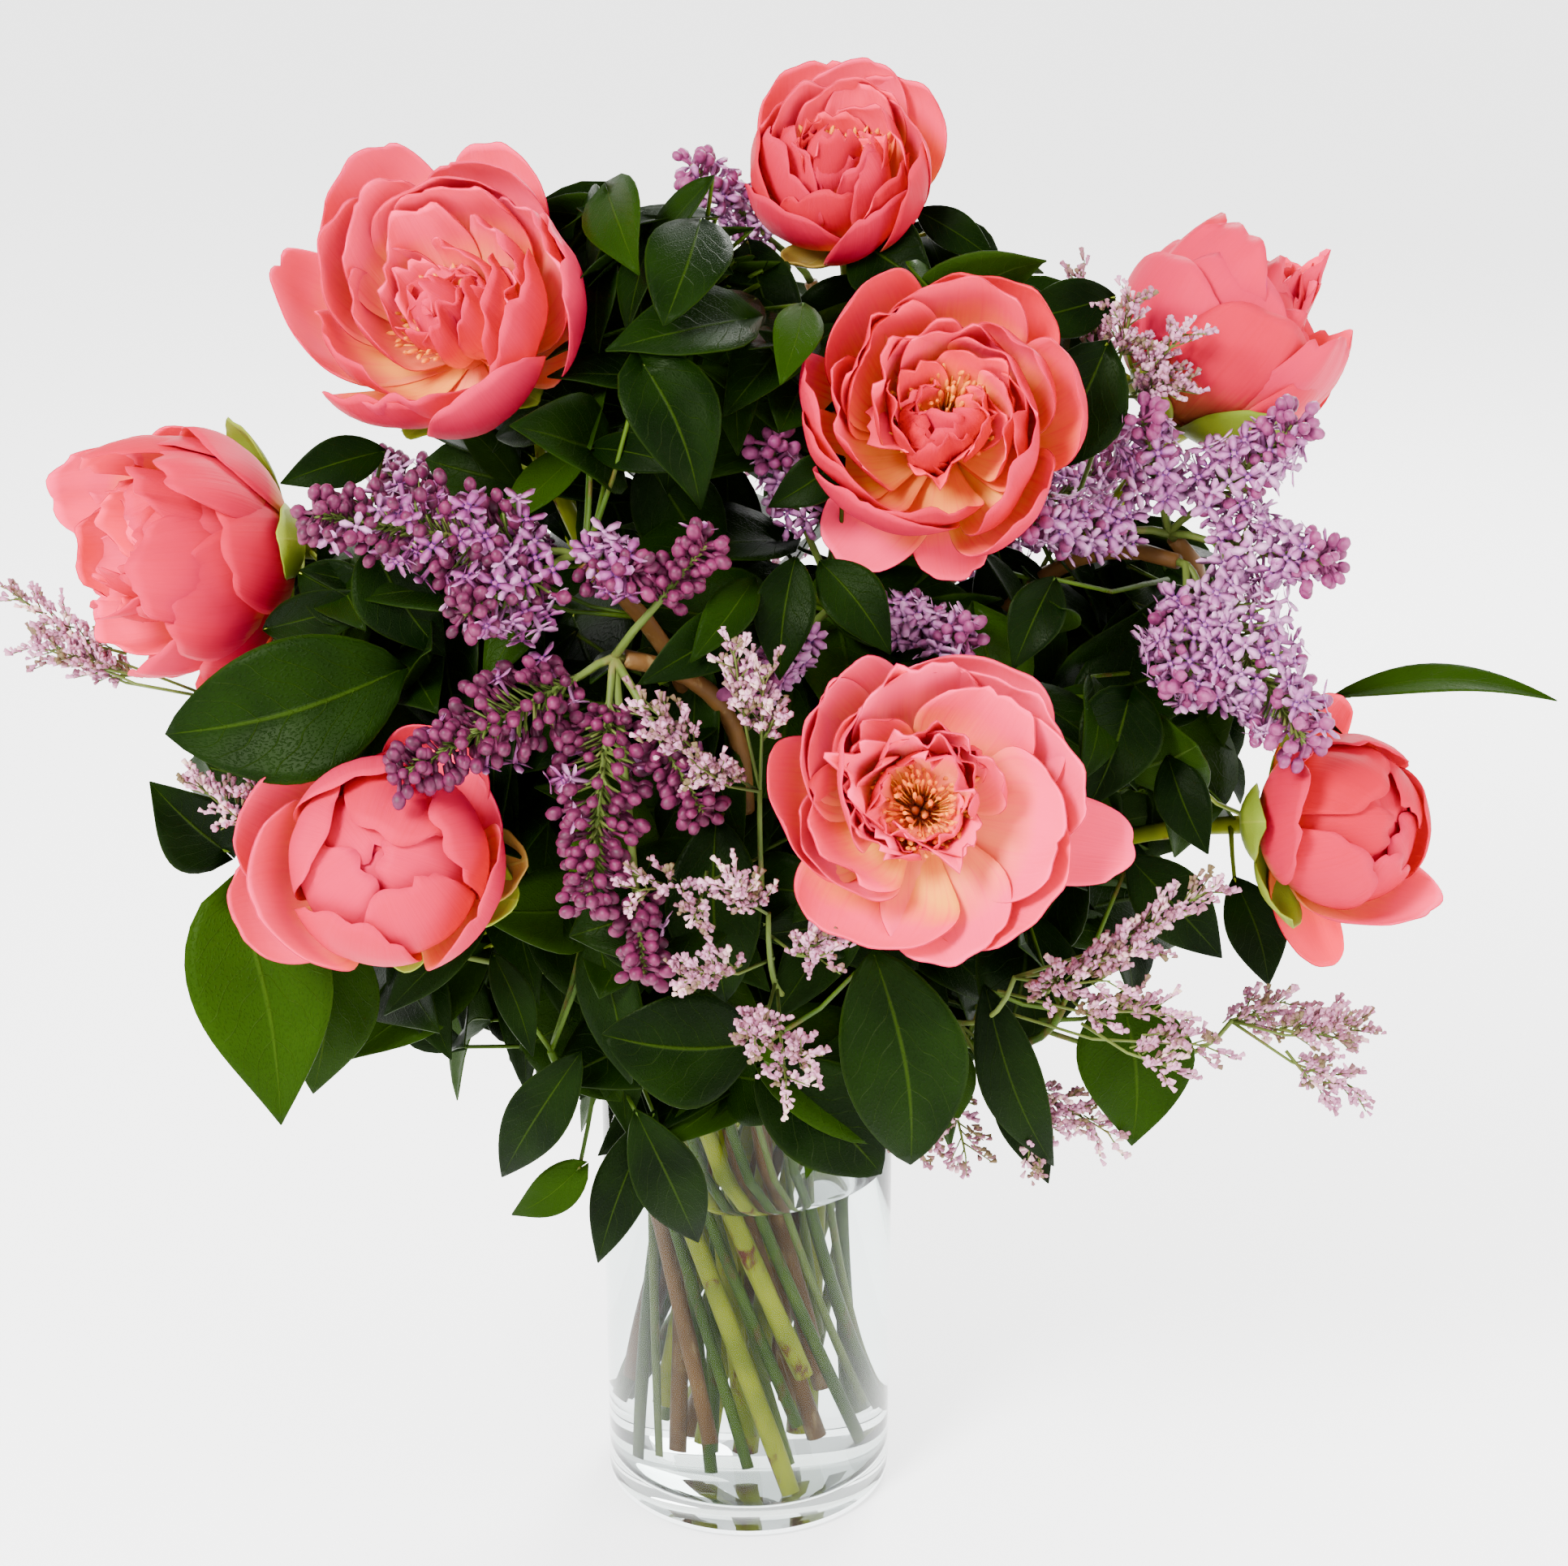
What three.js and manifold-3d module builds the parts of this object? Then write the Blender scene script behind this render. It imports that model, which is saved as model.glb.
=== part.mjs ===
// A bunch of coral peonies with lilac, limonium and mixed leaves, in a glass cylinder vase.
// Millimetres, +Z up. The origin is the middle of the vase's underside and -Y is the front.
import * as THREE from 'three';
import { mergeVertices } from 'three/addons/utils/BufferGeometryUtils.js';
import Module from 'manifold-3d';

const wasm = await Module();
wasm.setup();

// Driving dimensions
const clearance = 0.3;
const vase = { radius: 75, height: 250, wall: 5, floor: 15, heel: 3, lip: 1.6, sides: 32 };
const waterLevel = 188;
const petalThickness = 0.8;
const leafThickness = 0.8;
const bunchHeart = new THREE.Vector3(0, 0, 420);

// Colours
const colours = {
  glass: { color: 0xdfe6ea, roughness: 0.05, metalness: 0 },
  water: { color: 0xd5e0dc, roughness: 0.05, metalness: 0 },
  petal: { color: 0xff6f78, roughness: 0.55, metalness: 0 },
  stamen: { color: 0xffa52c, roughness: 0.6, metalness: 0 },
  peonyGreen: { color: 0x5f7f2a, roughness: 0.5, metalness: 0 },
  lilacGreen: { color: 0x2f4f1c, roughness: 0.5, metalness: 0 },
  leafGreen: { color: 0x24451a, roughness: 0.45, metalness: 0 },
  darkLilac: { color: 0x8a3f74, roughness: 0.6, metalness: 0 },
  paleLilac: { color: 0xc9a0cf, roughness: 0.6, metalness: 0 },
  limonium: { color: 0xcdb2bd, roughness: 0.8, metalness: 0 },
};

// Seeded draws, the same on every run
function seededDraws(seed) {
  let state = seed;
  return (low, high) => {
    state = (state * 48271) % 2147483647;
    return low + ((high - low) * state) / 2147483647;
  };
}

// Small vector helpers
const vec = (a) => new THREE.Vector3(...a);
const degrees = THREE.MathUtils.degToRad;
const origin = new THREE.Vector3();
const vertical = new THREE.Vector3(0, 0, 1);

// A flower's own axes: out along the way it opens, up towards the top of the picture, right across.
function flowerAxes(axis) {
  const out = vec(axis).normalize();
  const up = new THREE.Vector3(0, 0, 1);
  up.addScaledVector(out, -up.dot(out)).normalize();
  return { out, up, right: new THREE.Vector3().crossVectors(up, out) };
}

// Solids
function solidOf(geometry) {
  const bare = geometry.clone();
  bare.deleteAttribute('normal');
  bare.deleteAttribute('uv');
  const merged = mergeVertices(bare, 1e-4);
  const vertProperties = new Float32Array(merged.attributes.position.array);
  const triVerts = new Uint32Array(merged.index.array);
  return new wasm.Manifold(new wasm.Mesh({ numProp: 3, vertProperties, triVerts }));
}

function joined(solids) {
  let row = solids;
  while (row.length > 1) {
    const next = [];
    for (let i = 0; i < row.length; i += 2) {
      next.push(i + 1 < row.length ? row[i].add(row[i + 1]) : row[i]);
    }
    row = next;
  }
  return row[0];
}

// The largest body of a solid: loose scraps are dropped and sealed hollows are filled.
function largestBody(solid) {
  const { vertProperties, triVerts, numProp } = solid.getMesh();
  const parent = Array.from({ length: vertProperties.length / numProp }, (_, i) => i);
  const root = (i) => {
    while (parent[i] !== i) {
      parent[i] = parent[parent[i]];
      i = parent[i];
    }
    return i;
  };
  for (let t = 0; t < triVerts.length; t += 3) {
    parent[root(triVerts[t + 1])] = root(triVerts[t]);
    parent[root(triVerts[t + 2])] = root(triVerts[t]);
  }
  const corner = (i) => new THREE.Vector3().fromArray(vertProperties, i * numProp);
  const volumes = new Map();
  for (let t = 0; t < triVerts.length; t += 3) {
    const [a, b, c] = [corner(triVerts[t]), corner(triVerts[t + 1]), corner(triVerts[t + 2])];
    const body = root(triVerts[t]);
    volumes.set(body, (volumes.get(body) ?? 0) + a.dot(b.cross(c)));
  }
  const largest = [...volumes].sort((a, b) => b[1] - a[1])[0][0];
  const kept = [];
  for (let t = 0; t < triVerts.length; t += 3) {
    if (root(triVerts[t]) === largest) kept.push(...triVerts.subarray(t, t + 3));
  }
  const geometry = new THREE.BufferGeometry();
  geometry.setAttribute('position', new THREE.BufferAttribute(new Float32Array(vertProperties), numProp));
  geometry.setIndex(kept);
  return mergeVertices(geometry.toNonIndexed(), 1e-4);
}

// A thin blade on a grid of points: point(u, v) with u from -1 to 1 across and v, from 0 to 1 along, at
// the given rows. It starts from a point, and a pointed tip ends in one. Both faces are split alike.
function blade(point, rows, thickness, pointedTip) {
  const across = 2;
  const along = rows.length - 1;
  const positions = [];
  const face = { front: [], back: [] };
  const step = 1e-3;
  for (let j = 0; j <= along; j++) {
    const pointed = j === 0 || (j === along && pointedTip);
    for (let i = 0; i <= across; i++) {
      if (pointed && i > 0) {
        face.front.push(face.front.at(-1));
        face.back.push(face.back.at(-1));
        continue;
      }
      const u = pointed ? 0 : (2 * i) / across - 1;
      const v = rows[j];
      const inside = Math.min(Math.max(v, 0.04), 0.96);
      const acrossWay = point(u + step, inside).sub(point(u - step, inside));
      const alongWay = point(u, inside + step).sub(point(u, inside - step));
      const normal = acrossWay.cross(alongWay).normalize();
      const middle = point(u, v);
      for (const [side, sign] of [['front', 0.5], ['back', -0.5]]) {
        const corner = middle.clone().addScaledVector(normal, sign * thickness);
        face[side].push(positions.length / 3);
        positions.push(corner.x, corner.y, corner.z);
      }
    }
  }
  const triangles = [];
  const triangle = (a, b, c) => {
    if (a !== b && b !== c && c !== a) triangles.push(a, b, c);
  };
  const quad = (a, b, c, d) => {
    triangle(a, b, c);
    triangle(a, c, d);
  };
  const at = (i, j) => j * (across + 1) + i;
  for (let j = 0; j < along; j++) {
    for (let i = 0; i < across; i++) {
      const corners = [at(i, j), at(i + 1, j), at(i + 1, j + 1), at(i, j + 1)];
      if (i >= across / 2) corners.push(corners.shift());
      const [a, b, c, d] = corners.map((k) => face.front[k]);
      quad(a, b, c, d);
      const [e, f, g, h] = corners.map((k) => face.back[k]);
      triangle(e, g, f);
      triangle(e, h, g);
    }
  }
  const rim = (k, l) => quad(face.back[k], face.back[l], face.front[l], face.front[k]);
  for (let i = 0; i < across; i++) {
    rim(at(i, 0), at(i + 1, 0));
    rim(at(i + 1, along), at(i, along));
  }
  for (let j = 0; j < along; j++) {
    rim(at(0, j + 1), at(0, j));
    rim(at(across, j), at(across, j + 1));
  }
  const geometry = new THREE.BufferGeometry();
  geometry.setAttribute('position', new THREE.Float32BufferAttribute(positions, 3));
  geometry.setIndex(triangles);
  return solidOf(geometry);
}

// A curve that passes exactly through its points, with one extrusion step from each to the next
class Route extends THREE.Curve {
  constructor(points) {
    super();
    this.points = points;
  }
  getPoint(t) {
    const last = this.points.length - 1;
    const place = Math.min(Math.max(t, 0), 1) * last;
    const i = Math.min(Math.floor(place), last - 1);
    return this.points[i].clone().lerp(this.points[i + 1], place - i);
  }
  getUtoTmapping(u) {
    return u;
  }
}

function tube(points, radius, sides) {
  const corners = [];
  for (let i = 0; i < sides; i++) {
    const angle = (2 * Math.PI * (i + 0.5)) / sides;
    corners.push(new THREE.Vector2(radius * Math.cos(angle), radius * Math.sin(angle)));
  }
  const settings = { steps: points.length - 1, extrudePath: new Route(points), curveSegments: 1 };
  return solidOf(new THREE.ExtrudeGeometry(new THREE.Shape(corners), settings));
}

// A lathe profile of [radius, height] points, turned round a given axis
function turned(profile, foot, way, sides) {
  const geometry = new THREE.LatheGeometry(profile.map((p) => new THREE.Vector2(...p)), sides);
  const turn = new THREE.Quaternion().setFromUnitVectors(new THREE.Vector3(0, 1, 0), way);
  geometry.applyQuaternion(turn).translate(foot.x, foot.y, foot.z);
  return solidOf(geometry);
}

// A small spindle with three sides, for buds and small florets
function spindle(root, way, length, radius, widest) {
  const profile = [[0, 0], [radius, length * widest], [0, length]];
  return turned(profile, root, way, 3);
}

// Space that is taken: every piece placed so far, a little enlarged, with the flower or stem it belongs to
const taken = [];

function boxOf(solid) {
  const { min, max } = solid.boundingBox();
  return new THREE.Box3(vec(min), vec(max));
}

function take(solid, owner) {
  taken.push({ solid, owner, box: boxOf(solid) });
}

function neighboursOf(solid, owner) {
  const box = boxOf(solid);
  return taken.filter((t) => t.owner !== owner && t.box.intersectsBox(box));
}

const isClear = (solid, owner) =>
  neighboursOf(solid, owner).every((t) => solid.intersect(t.solid).isEmpty());

// What is left of a piece once its neighbours' space is cut out of it, or null if that is too little
function trimmed(solid, owner, leastShare) {
  let rest = solid;
  for (const neighbour of neighboursOf(solid, owner)) rest = rest.subtract(neighbour.solid);
  return rest.volume() < leastShare * solid.volume() ? null : rest;
}

// Vase and water
function vaseSolid() {
  const { radius, height, wall, floor, heel, lip, sides } = vase;
  const inner = radius - wall;
  const profile = [
    [0, 0],
    [radius - heel, 0],
    [radius, heel],
    [radius, height - lip],
    [radius - lip, height],
    [inner + lip, height],
    [inner, height - lip],
    [inner, floor],
    [0, floor],
  ];
  return turned(profile, origin, vertical, sides);
}

// Stems stand in three rings in the vase and lean all the same way round, as in a spiral-tied bunch.
const rings = {
  outer: { radius: 53, count: 20 },
  middle: { radius: 36, count: 12 },
  inner: { radius: 18, count: 6 },
};
const twist = 95;
const footSlope = 1.6;
const stemFoot = vase.floor + clearance + footSlope;
const bendHeight = vase.height + 8;

// A point of a slot's straight line, at a given height
function slotPoint(ring, slot, height) {
  const { radius, count } = rings[ring];
  const top = degrees((360 * slot) / count);
  const bottom = top + degrees(twist);
  const share = (height - vase.floor) / (vase.height - vase.floor);
  const low = new THREE.Vector3(radius * Math.cos(bottom), radius * Math.sin(bottom), vase.floor);
  const high = new THREE.Vector3(radius * Math.cos(top), radius * Math.sin(top), vase.height);
  return low.lerp(high, share);
}

// A stem's points: straight from its cut foot to just above the rim, then bending to its head.
function stemPoints(stem) {
  const foot = slotPoint(stem.ring, stem.slot, stemFoot + stem.cut);
  const bend = slotPoint(stem.ring, stem.slot, bendHeight);
  const start = bend.clone().sub(foot).normalize();
  const reach = bend.distanceTo(stem.head);
  const curve = new THREE.CubicBezierCurve3(
    bend,
    bend.clone().addScaledVector(start, 0.4 * reach),
    stem.head.clone().addScaledVector(stem.lean, -0.4 * reach),
    stem.head,
  );
  return [foot, ...curve.getPoints(stem.bends)];
}

// Water, with a plain hole round each stem
function waterSolid() {
  const { radius, wall, floor, sides } = vase;
  const low = floor + clearance;
  const outer = radius - wall - 1.2 * clearance;
  const profile = [[0, low], [outer, low], [outer, waterLevel], [0, waterLevel]];
  let solid = turned(profile, origin, vertical, sides);
  for (const stem of Object.values(stems)) {
    const above = slotPoint(stem.ring, stem.slot, waterLevel + 10);
    const foot = stem.points[0].clone();
    const way = above.clone().sub(foot).normalize();
    const room = stem.radius + clearance / Math.cos(Math.PI / stem.sides);
    solid = solid.subtract(tube([foot.addScaledVector(way, -clearance), above], room, stem.sides));
  }
  return solid;
}

// Each row is ring, slot, radius and the height of the cut foot above the vase floor.
const slots = {
  peony_top_left: ['inner', 3, 4.3, 22],
  peony_left: ['outer', 11, 4.5, 0],
  peony_top: ['inner', 1, 4.2, 8],
  peony_top_right: ['middle', 3, 4.4, 30],
  peony_centre: ['inner', 0, 4.3, 0],
  peony_front: ['middle', 11, 4.8, 6],
  peony_front_left: ['outer', 13, 4.5, 62],
  peony_right: ['outer', 1, 4.5, 14],
  lilac_left_upper: ['middle', 8, 4, 20],
  lilac_left_lower: ['middle', 9, 4.2, 44],
  lilac_right_upper: ['middle', 1, 4.2, 4],
  lilac_right_lower: ['middle', 0, 4, 26],
  lilac_top: ['middle', 4, 3.6, 12],
  lilac_centre: ['inner', 5, 3.4, 34],
  lilac_back_left: ['outer', 9, 4, 28],
  lilac_back_right: ['outer', 5, 4, 40],
  limonium_left: ['middle', 7, 2, 10],
  limonium_front_left: ['outer', 15, 2, 30],
  limonium_centre: ['middle', 10, 2, 70],
  limonium_front: ['outer', 17, 2, 2],
  limonium_right: ['outer', 19, 2, 0],
  limonium_far_right: ['outer', 0, 2, 36],
  limonium_top_right: ['middle', 2, 2, 16],
  limonium_back: ['outer', 7, 2, 12],
  leafy_left: ['outer', 12, 3, 36],
  leafy_left_low: ['outer', 14, 3, 12],
  leafy_front_low: ['outer', 16, 3, 18],
  leafy_right_low: ['outer', 18, 3, 8],
  leafy_right: ['outer', 3, 3, 20],
  leafy_top: ['middle', 5, 3, 6],
  leafy_back_left: ['outer', 10, 3, 16],
  leafy_back: ['outer', 6, 3, 4],
  leafy_back_right: ['outer', 4, 3, 22],
  leafy_back_top: ['inner', 2, 3, 10],
};

// Peonies. Each ring row: petals, length, half width, angles from the flower's axis at the base and at
// the tip, cup, azimuth of the first petal. A loose petal's row: azimuth, then the same five values.
const blooms = {
  peony_top_left: {
    centre: [-139, -20, 638], axis: [-0.25, -0.72, 0.65], depth: 30, open: true, seed: 11,
    rings: [[5, 84, 34, 89, 20, 0.36, 15], [4, 72, 28, 68, 4, 0.34, 40], [3, 50, 17, 50, 4, 0.3, 10]],
    loose: [[82, 84, 27, 97, 16, 0.34]],
    sepals: [250, 330],
  },
  peony_left: {
    centre: [-268, -20, 522], axis: [-0.84, -0.51, 0.16], depth: 48, open: false, seed: 12,
    rings: [[5, 108, 37, 86, -10, 0.36, 20], [4, 95, 32, 66, -26, 0.34, 55]],
    loose: [[280, 84, 30, 94, 34, 0.3]],
    sepals: [20, 110],
  },
  peony_top: {
    centre: [45, 60, 692], axis: [-0.1, -0.34, 0.93], depth: 30, open: true, seed: 13,
    rings: [[5, 80, 30, 86, -6, 0.36, 0], [4, 68, 23, 64, -10, 0.34, 35], [3, 46, 13, 46, -4, 0.3, 10]],
    loose: [],
    sepals: [250, 320],
  },
  peony_top_right: {
    centre: [234, 50, 611], axis: [0.55, 0.15, 0.82], depth: 32, open: false, seed: 14,
    rings: [[5, 96, 38, 86, 0, 0.36, 56], [4, 86, 33, 66, -20, 0.34, 20]],
    loose: [[345, 94, 22, 90, 44, 0.3]],
    sepals: [195, 265],
  },
  peony_centre: {
    centre: [91, -70, 600], axis: [-0.05, -0.85, 0.52], depth: 30, open: true, seed: 15,
    rings: [[5, 82, 33, 88, 12, 0.36, 0], [4, 68, 27, 68, 2, 0.34, 30], [3, 48, 15, 48, 2, 0.3, 50]],
    loose: [[232, 72, 25, 98, 62, 0.25], [276, 62, 20, 102, 70, 0.25]],
    sepals: [210, 300],
  },
  peony_front: {
    centre: [81, -175, 455], axis: [0, -0.87, 0.49], depth: 20, open: true, seed: 16,
    rings: [[5, 76, 37, 90, 46, 0.28, 10], [5, 66, 29, 74, 24, 0.3, 46], [3, 44, 19, 50, 4, 0.3, 0]],
    loose: [[348, 94, 22, 95, 66, 0.2]],
    sepals: [200, 290],
  },
  peony_front_left: {
    centre: [-161, -150, 415], axis: [0.02, -0.86, 0.5], depth: 42, open: false, seed: 17,
    rings: [[5, 112, 36, 88, -44, 0.4, 54], [3, 104, 38, 68, -66, 0.36, 30]],
    loose: [[200, 92, 30, 95, 14, 0.34]],
    sepals: [150, 345],
  },
  peony_right: {
    centre: [290, -60, 397], axis: [0.635, -0.713, 0.3], depth: 40, open: false, seed: 18,
    rings: [[4, 98, 38, 86, -46, 0.42, 10], [3, 90, 33, 66, -66, 0.36, 50]],
    loose: [[70, 68, 24, 97, 34, 0.34], [255, 72, 24, 98, 40, 0.34]],
    sepals: [150, 215],
  },
};

// Lilac heads: a fork on the branch, then for each panicle its tip, its radius, and the share of its
// rachis, from the fork, that is bare.
const lilacs = {
  lilac_left_upper: {
    colour: 'darkLilac', seed: 21, fork: [-76, -106, 548],
    panicles: [[[-189, -135, 577], 32, 0.1], [[-122, -158, 538], 30, 0.25], [[-48, -142, 551], 22, 0.2]],
  },
  lilac_left_lower: {
    colour: 'darkLilac', seed: 22, fork: [-58, -126, 506],
    panicles: [
      [[-152, -175, 468], 29, 0.15], [[-68, -187, 410], 30, 0.15], [[-44, -186, 376], 13, 0.72],
      [[-15, -137, 564], 17, 0.45], [[-17, -172, 449], 15, 0.45],
    ],
  },
  lilac_right_upper: {
    colour: 'paleLilac', seed: 24, fork: [203, -18, 530],
    panicles: [
      [[131, -70, 553], 22, 0.25], [[257, -50, 594], 28, 0.2], [[186, -42, 594], 24, 0.25],
      [[274, -62, 530], 28, 0.25],
    ],
  },
  lilac_right_lower: {
    colour: 'paleLilac', seed: 25, fork: [210, -36, 520],
    panicles: [[[262, -95, 452], 36, 0.1], [[206, -92, 476], 30, 0.25]],
  },
  lilac_top: {
    colour: 'paleLilac', seed: 26, fork: [30, 92, 630],
    panicles: [[[-26, 66, 690], 16, 0.3]],
  },
  lilac_centre: {
    colour: 'paleLilac', seed: 27, fork: [44, -34, 500],
    panicles: [[[12, -62, 588], 14, 0.5], [[104, -86, 500], 20, 0.35], [[2, -118, 488], 18, 0.4]],
  },
  lilac_back_left: {
    colour: 'darkLilac', seed: 28, fork: [-112, 112, 470],
    panicles: [[[-196, 160, 510], 28, 0.1], [[-120, 190, 450], 24, 0.2]],
  },
  lilac_back_right: {
    colour: 'paleLilac', seed: 29, fork: [112, 122, 470],
    panicles: [[[200, 176, 512], 28, 0.1], [[96, 206, 448], 25, 0.2]],
  },
};

// Limonium: where the main stem branches, then the tip of each twig.
const limoniums = {
  limonium_left: {
    head: [-262, 0, 440],
    tips: [[-358, 10, 488], [-340, 2, 464], [-352, 14, 462]],
  },
  limonium_front_left: {
    head: [-216, -90, 398],
    tips: [[-228, -132, 462], [-250, -112, 450], [-236, -134, 432]],
  },
  limonium_centre: {
    head: [8, -146, 450],
    tips: [[-3, -178, 528], [-40, -182, 503], [-46, -202, 424], [-20, -188, 478]],
  },
  limonium_front: {
    head: [12, -176, 402],
    tips: [[36, -218, 398], [6, -226, 363], [20, -232, 342], [-5, -204, 430], [-18, -210, 388]],
  },
  limonium_right: {
    head: [125, -158, 362],
    tips: [
      [211, -190, 342], [182, -172, 384], [213, -160, 406], [166, -184, 372],
      [106, -132, 254], [142, -132, 256], [176, -120, 260],
    ],
  },
  limonium_far_right: {
    head: [236, -88, 306],
    tips: [[297, -90, 270], [262, -84, 314], [302, -80, 296], [286, -104, 304]],
  },
  limonium_top_right: {
    head: [176, 14, 592],
    tips: [[206, -26, 630], [183, -10, 642], [206, -20, 601], [160, 26, 642]],
  },
  limonium_back: {
    head: [-26, 182, 440],
    tips: [[-62, 232, 474], [-8, 244, 484], [26, 226, 436], [-84, 214, 430]],
  },
};

// Leafy stems: the point where each ends.
const leafyHeads = {
  leafy_left: [-208, -60, 446],
  leafy_left_low: [-92, -118, 304],
  leafy_front_low: [12, -134, 318],
  leafy_right_low: [150, -126, 330],
  leafy_right: [232, 20, 440],
  leafy_top: [-22, 30, 648],
  leafy_back_left: [-190, 96, 400],
  leafy_back: [10, 150, 500],
  leafy_back_right: [190, 110, 390],
  leafy_back_top: [-30, 110, 600],
};

// Leaves seen best: the stem each grows on, the base and the tip of its blade, half its width, its form,
// and, where it isn't turned out from the bunch, the way it faces.
const front = [0, -1, 0.35];
const leaves = [
  ['leafy_left', [-156, -112, 486], [-264, -124, 468], 36, 'broad', front],
  ['leafy_left', [-236, -112, 379], [-219, -140, 276], 34, 'heart', front],
  ['leafy_left', [-200, -88, 350], [-210, -98, 270], 26, 'heart', front],
  ['leafy_left', [-246, -90, 396], [-276, -104, 436], 20, 'heart', front],
  ['leafy_front_low', [4, -150, 324], [-64, -166, 336], 27, 'broad', front],
  ['leafy_front_low', [60, -172, 380], [78, -178, 274], 29, 'broad', front],
  ['leafy_front_low', [8, -118, 296], [66, -122, 240], 26, 'broad', front],
  ['leafy_left_low', [-44, -102, 262], [-73, -104, 180], 14, 'lance', front],
  ['leafy_left_low', [-52, -112, 268], [-23, -96, 186], 17, 'lance', front],
  ['leafy_right_low', [113, -140, 347], [148, -140, 252], 15, 'lance', front],
  ['leafy_right_low', [181, -112, 324], [186, -124, 256], 28, 'heart', front],
  ['leafy_right', [292, 0, 440], [398, -10, 442], 9, 'lance', [0, -0.5, 0.8]],
  ['peony_top', [58, 44, 656], [92, 18, 640], 21, 'heart', front],
  ['peony_top', [84, 62, 668], [122, 50, 646], 10, 'lance', front],
  ['leafy_top', [2, 30, 660], [26, -8, 606], 17, 'broad', front],
  ['leafy_top', [-6, 2, 632], [17, -30, 570], 15, 'lance', front],
  ['leafy_top', [-35, 1, 656], [-72, -19, 592], 20, 'heart', front],
  ['leafy_top', [-24, -6, 628], [-36, -38, 556], 20, 'lance', front],
  ['peony_top_right', [176, 20, 636], [124, 8, 626], 14, 'lance', front],
  ['lilac_left_upper', [-166, -96, 545], [-136, -108, 500], 20, 'heart', front],
  ['peony_left', [-206, -66, 526], [-160, -86, 508], 15, 'lance', front],
  ['lilac_centre', [36, -108, 545], [67, -132, 510], 14, 'lance', front],
  ['lilac_right_upper', [143, -86, 530], [124, -108, 494], 13, 'lance', front],
  ['lilac_right_lower', [180, -84, 470], [160, -116, 428], 20, 'heart', front],
  ['peony_right', [200, -82, 440], [218, -104, 400], 13, 'lance', front],
  ['leafy_right_low', [182, -100, 396], [226, -112, 350], 17, 'lance', front],
  ['peony_right', [240, -42, 360], [258, -54, 308], 15, 'lance', front],
  ['leafy_left_low', [-78, -130, 308], [-118, -120, 236], 15, 'lance', front],
  ['lilac_left_lower', [-62, -141, 390], [-20, -166, 358], 18, 'heart', front],
  ['lilac_left_lower', [-12, -141, 432], [-8, -160, 350], 22, 'broad', front],
  ['leafy_right_low', [127, -98, 280], [148, -106, 226], 13, 'heart', front],
  ['peony_front', [89, -128, 324], [97, -132, 270], 14, 'broad', front],
];

// Leaves that fill the sides and the back: how many each stem carries, their length, half width and form.
const fillLeaves = {
  peony_top_left: [1, 74, 18, 'lance'],
  peony_top: [1, 74, 18, 'lance'],
  peony_top_right: [1, 74, 18, 'lance'],
  lilac_back_left: [3, 72, 27, 'heart'],
  lilac_back_right: [3, 72, 27, 'heart'],
  lilac_top: [1, 68, 26, 'heart'],
  leafy_right: [3, 78, 24, 'broad'],
  leafy_back_left: [4, 80, 26, 'broad'],
  leafy_back: [4, 80, 27, 'heart'],
  leafy_back_right: [4, 80, 26, 'broad'],
  leafy_back_top: [3, 80, 22, 'broad'],
};

// How wide a petal is along its length, as a share of its widest
function petalWidth(v) {
  const widest = 0.68;
  if (v < widest) return 0.06 + 0.94 * Math.sin((Math.PI / 2) * (v / widest)) ** 1.35;
  return Math.sqrt(1 - (0.86 * (v - widest) / (1 - widest)) ** 2);
}

const petalRows = [0, 0.36, 0.7, 1];
const innerPetalRows = [0, 0.6, 1];

// A petal's middle surface: an arc that turns from one angle to another, cupped towards the flower's axis
function petalPoint(axes, foot, petal) {
  const { length, halfWidth, from, to, cup, azimuth, baseRadius, low, lean } = petal;
  const away = axes.right.clone().multiplyScalar(Math.cos(azimuth)).addScaledVector(axes.up, Math.sin(azimuth));
  const sideways = new THREE.Vector3().crossVectors(axes.out, away);
  const turn = to - from;
  return (u, v) => {
    const angle = from + turn * v;
    const rise = (length * (Math.sin(angle) - Math.sin(from))) / turn;
    const spread = (length * (Math.cos(from) - Math.cos(angle))) / turn;
    const inward = axes.out.clone().multiplyScalar(Math.sin(angle)).addScaledVector(away, -Math.cos(angle));
    const half = halfWidth * petalWidth(v);
    return foot.clone()
      .addScaledVector(axes.out, low + rise)
      .addScaledVector(away, baseRadius + spread)
      .addScaledVector(sideways, u * half * Math.cos(lean))
      .addScaledVector(inward, cup * v * u * u * half + u * half * Math.sin(lean));
  };
}

// All petals of a flower, from the outermost ring in, with small seeded differences
function petalsOf(bloom) {
  const draw = seededDraws(bloom.seed);
  const petals = bloom.rings.flatMap(([count, length, halfWidth, from, to, cup, first], ring) =>
    Array.from({ length: count }, (_, i) => ({
      ring,
      azimuth: degrees(first + (360 * i) / count + draw(-5, 5)),
      length: length * draw(0.94, 1.05),
      halfWidth: halfWidth * draw(0.94, 1.06),
      from: degrees(from),
      to: degrees(to + draw(-5, 5)),
      cup,
      baseRadius: ring < 2 ? 6 : 10,
      low: [2, 3.6, 5.6][ring],
      lean: degrees(9),
    })),
  );
  const loose = bloom.loose.map(([azimuth, length, halfWidth, from, to, cup]) => ({
    ring: -1,
    azimuth: degrees(azimuth),
    length,
    halfWidth,
    from: degrees(from),
    to: degrees(to),
    cup,
    baseRadius: 6,
    low: 0.6,
    lean: 0,
  }));
  return [...loose, ...petals];
}

const fatten = (shape) => ({
  ...shape,
  length: shape.length + 1.5,
  halfWidth: shape.halfWidth + 1,
});

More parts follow.
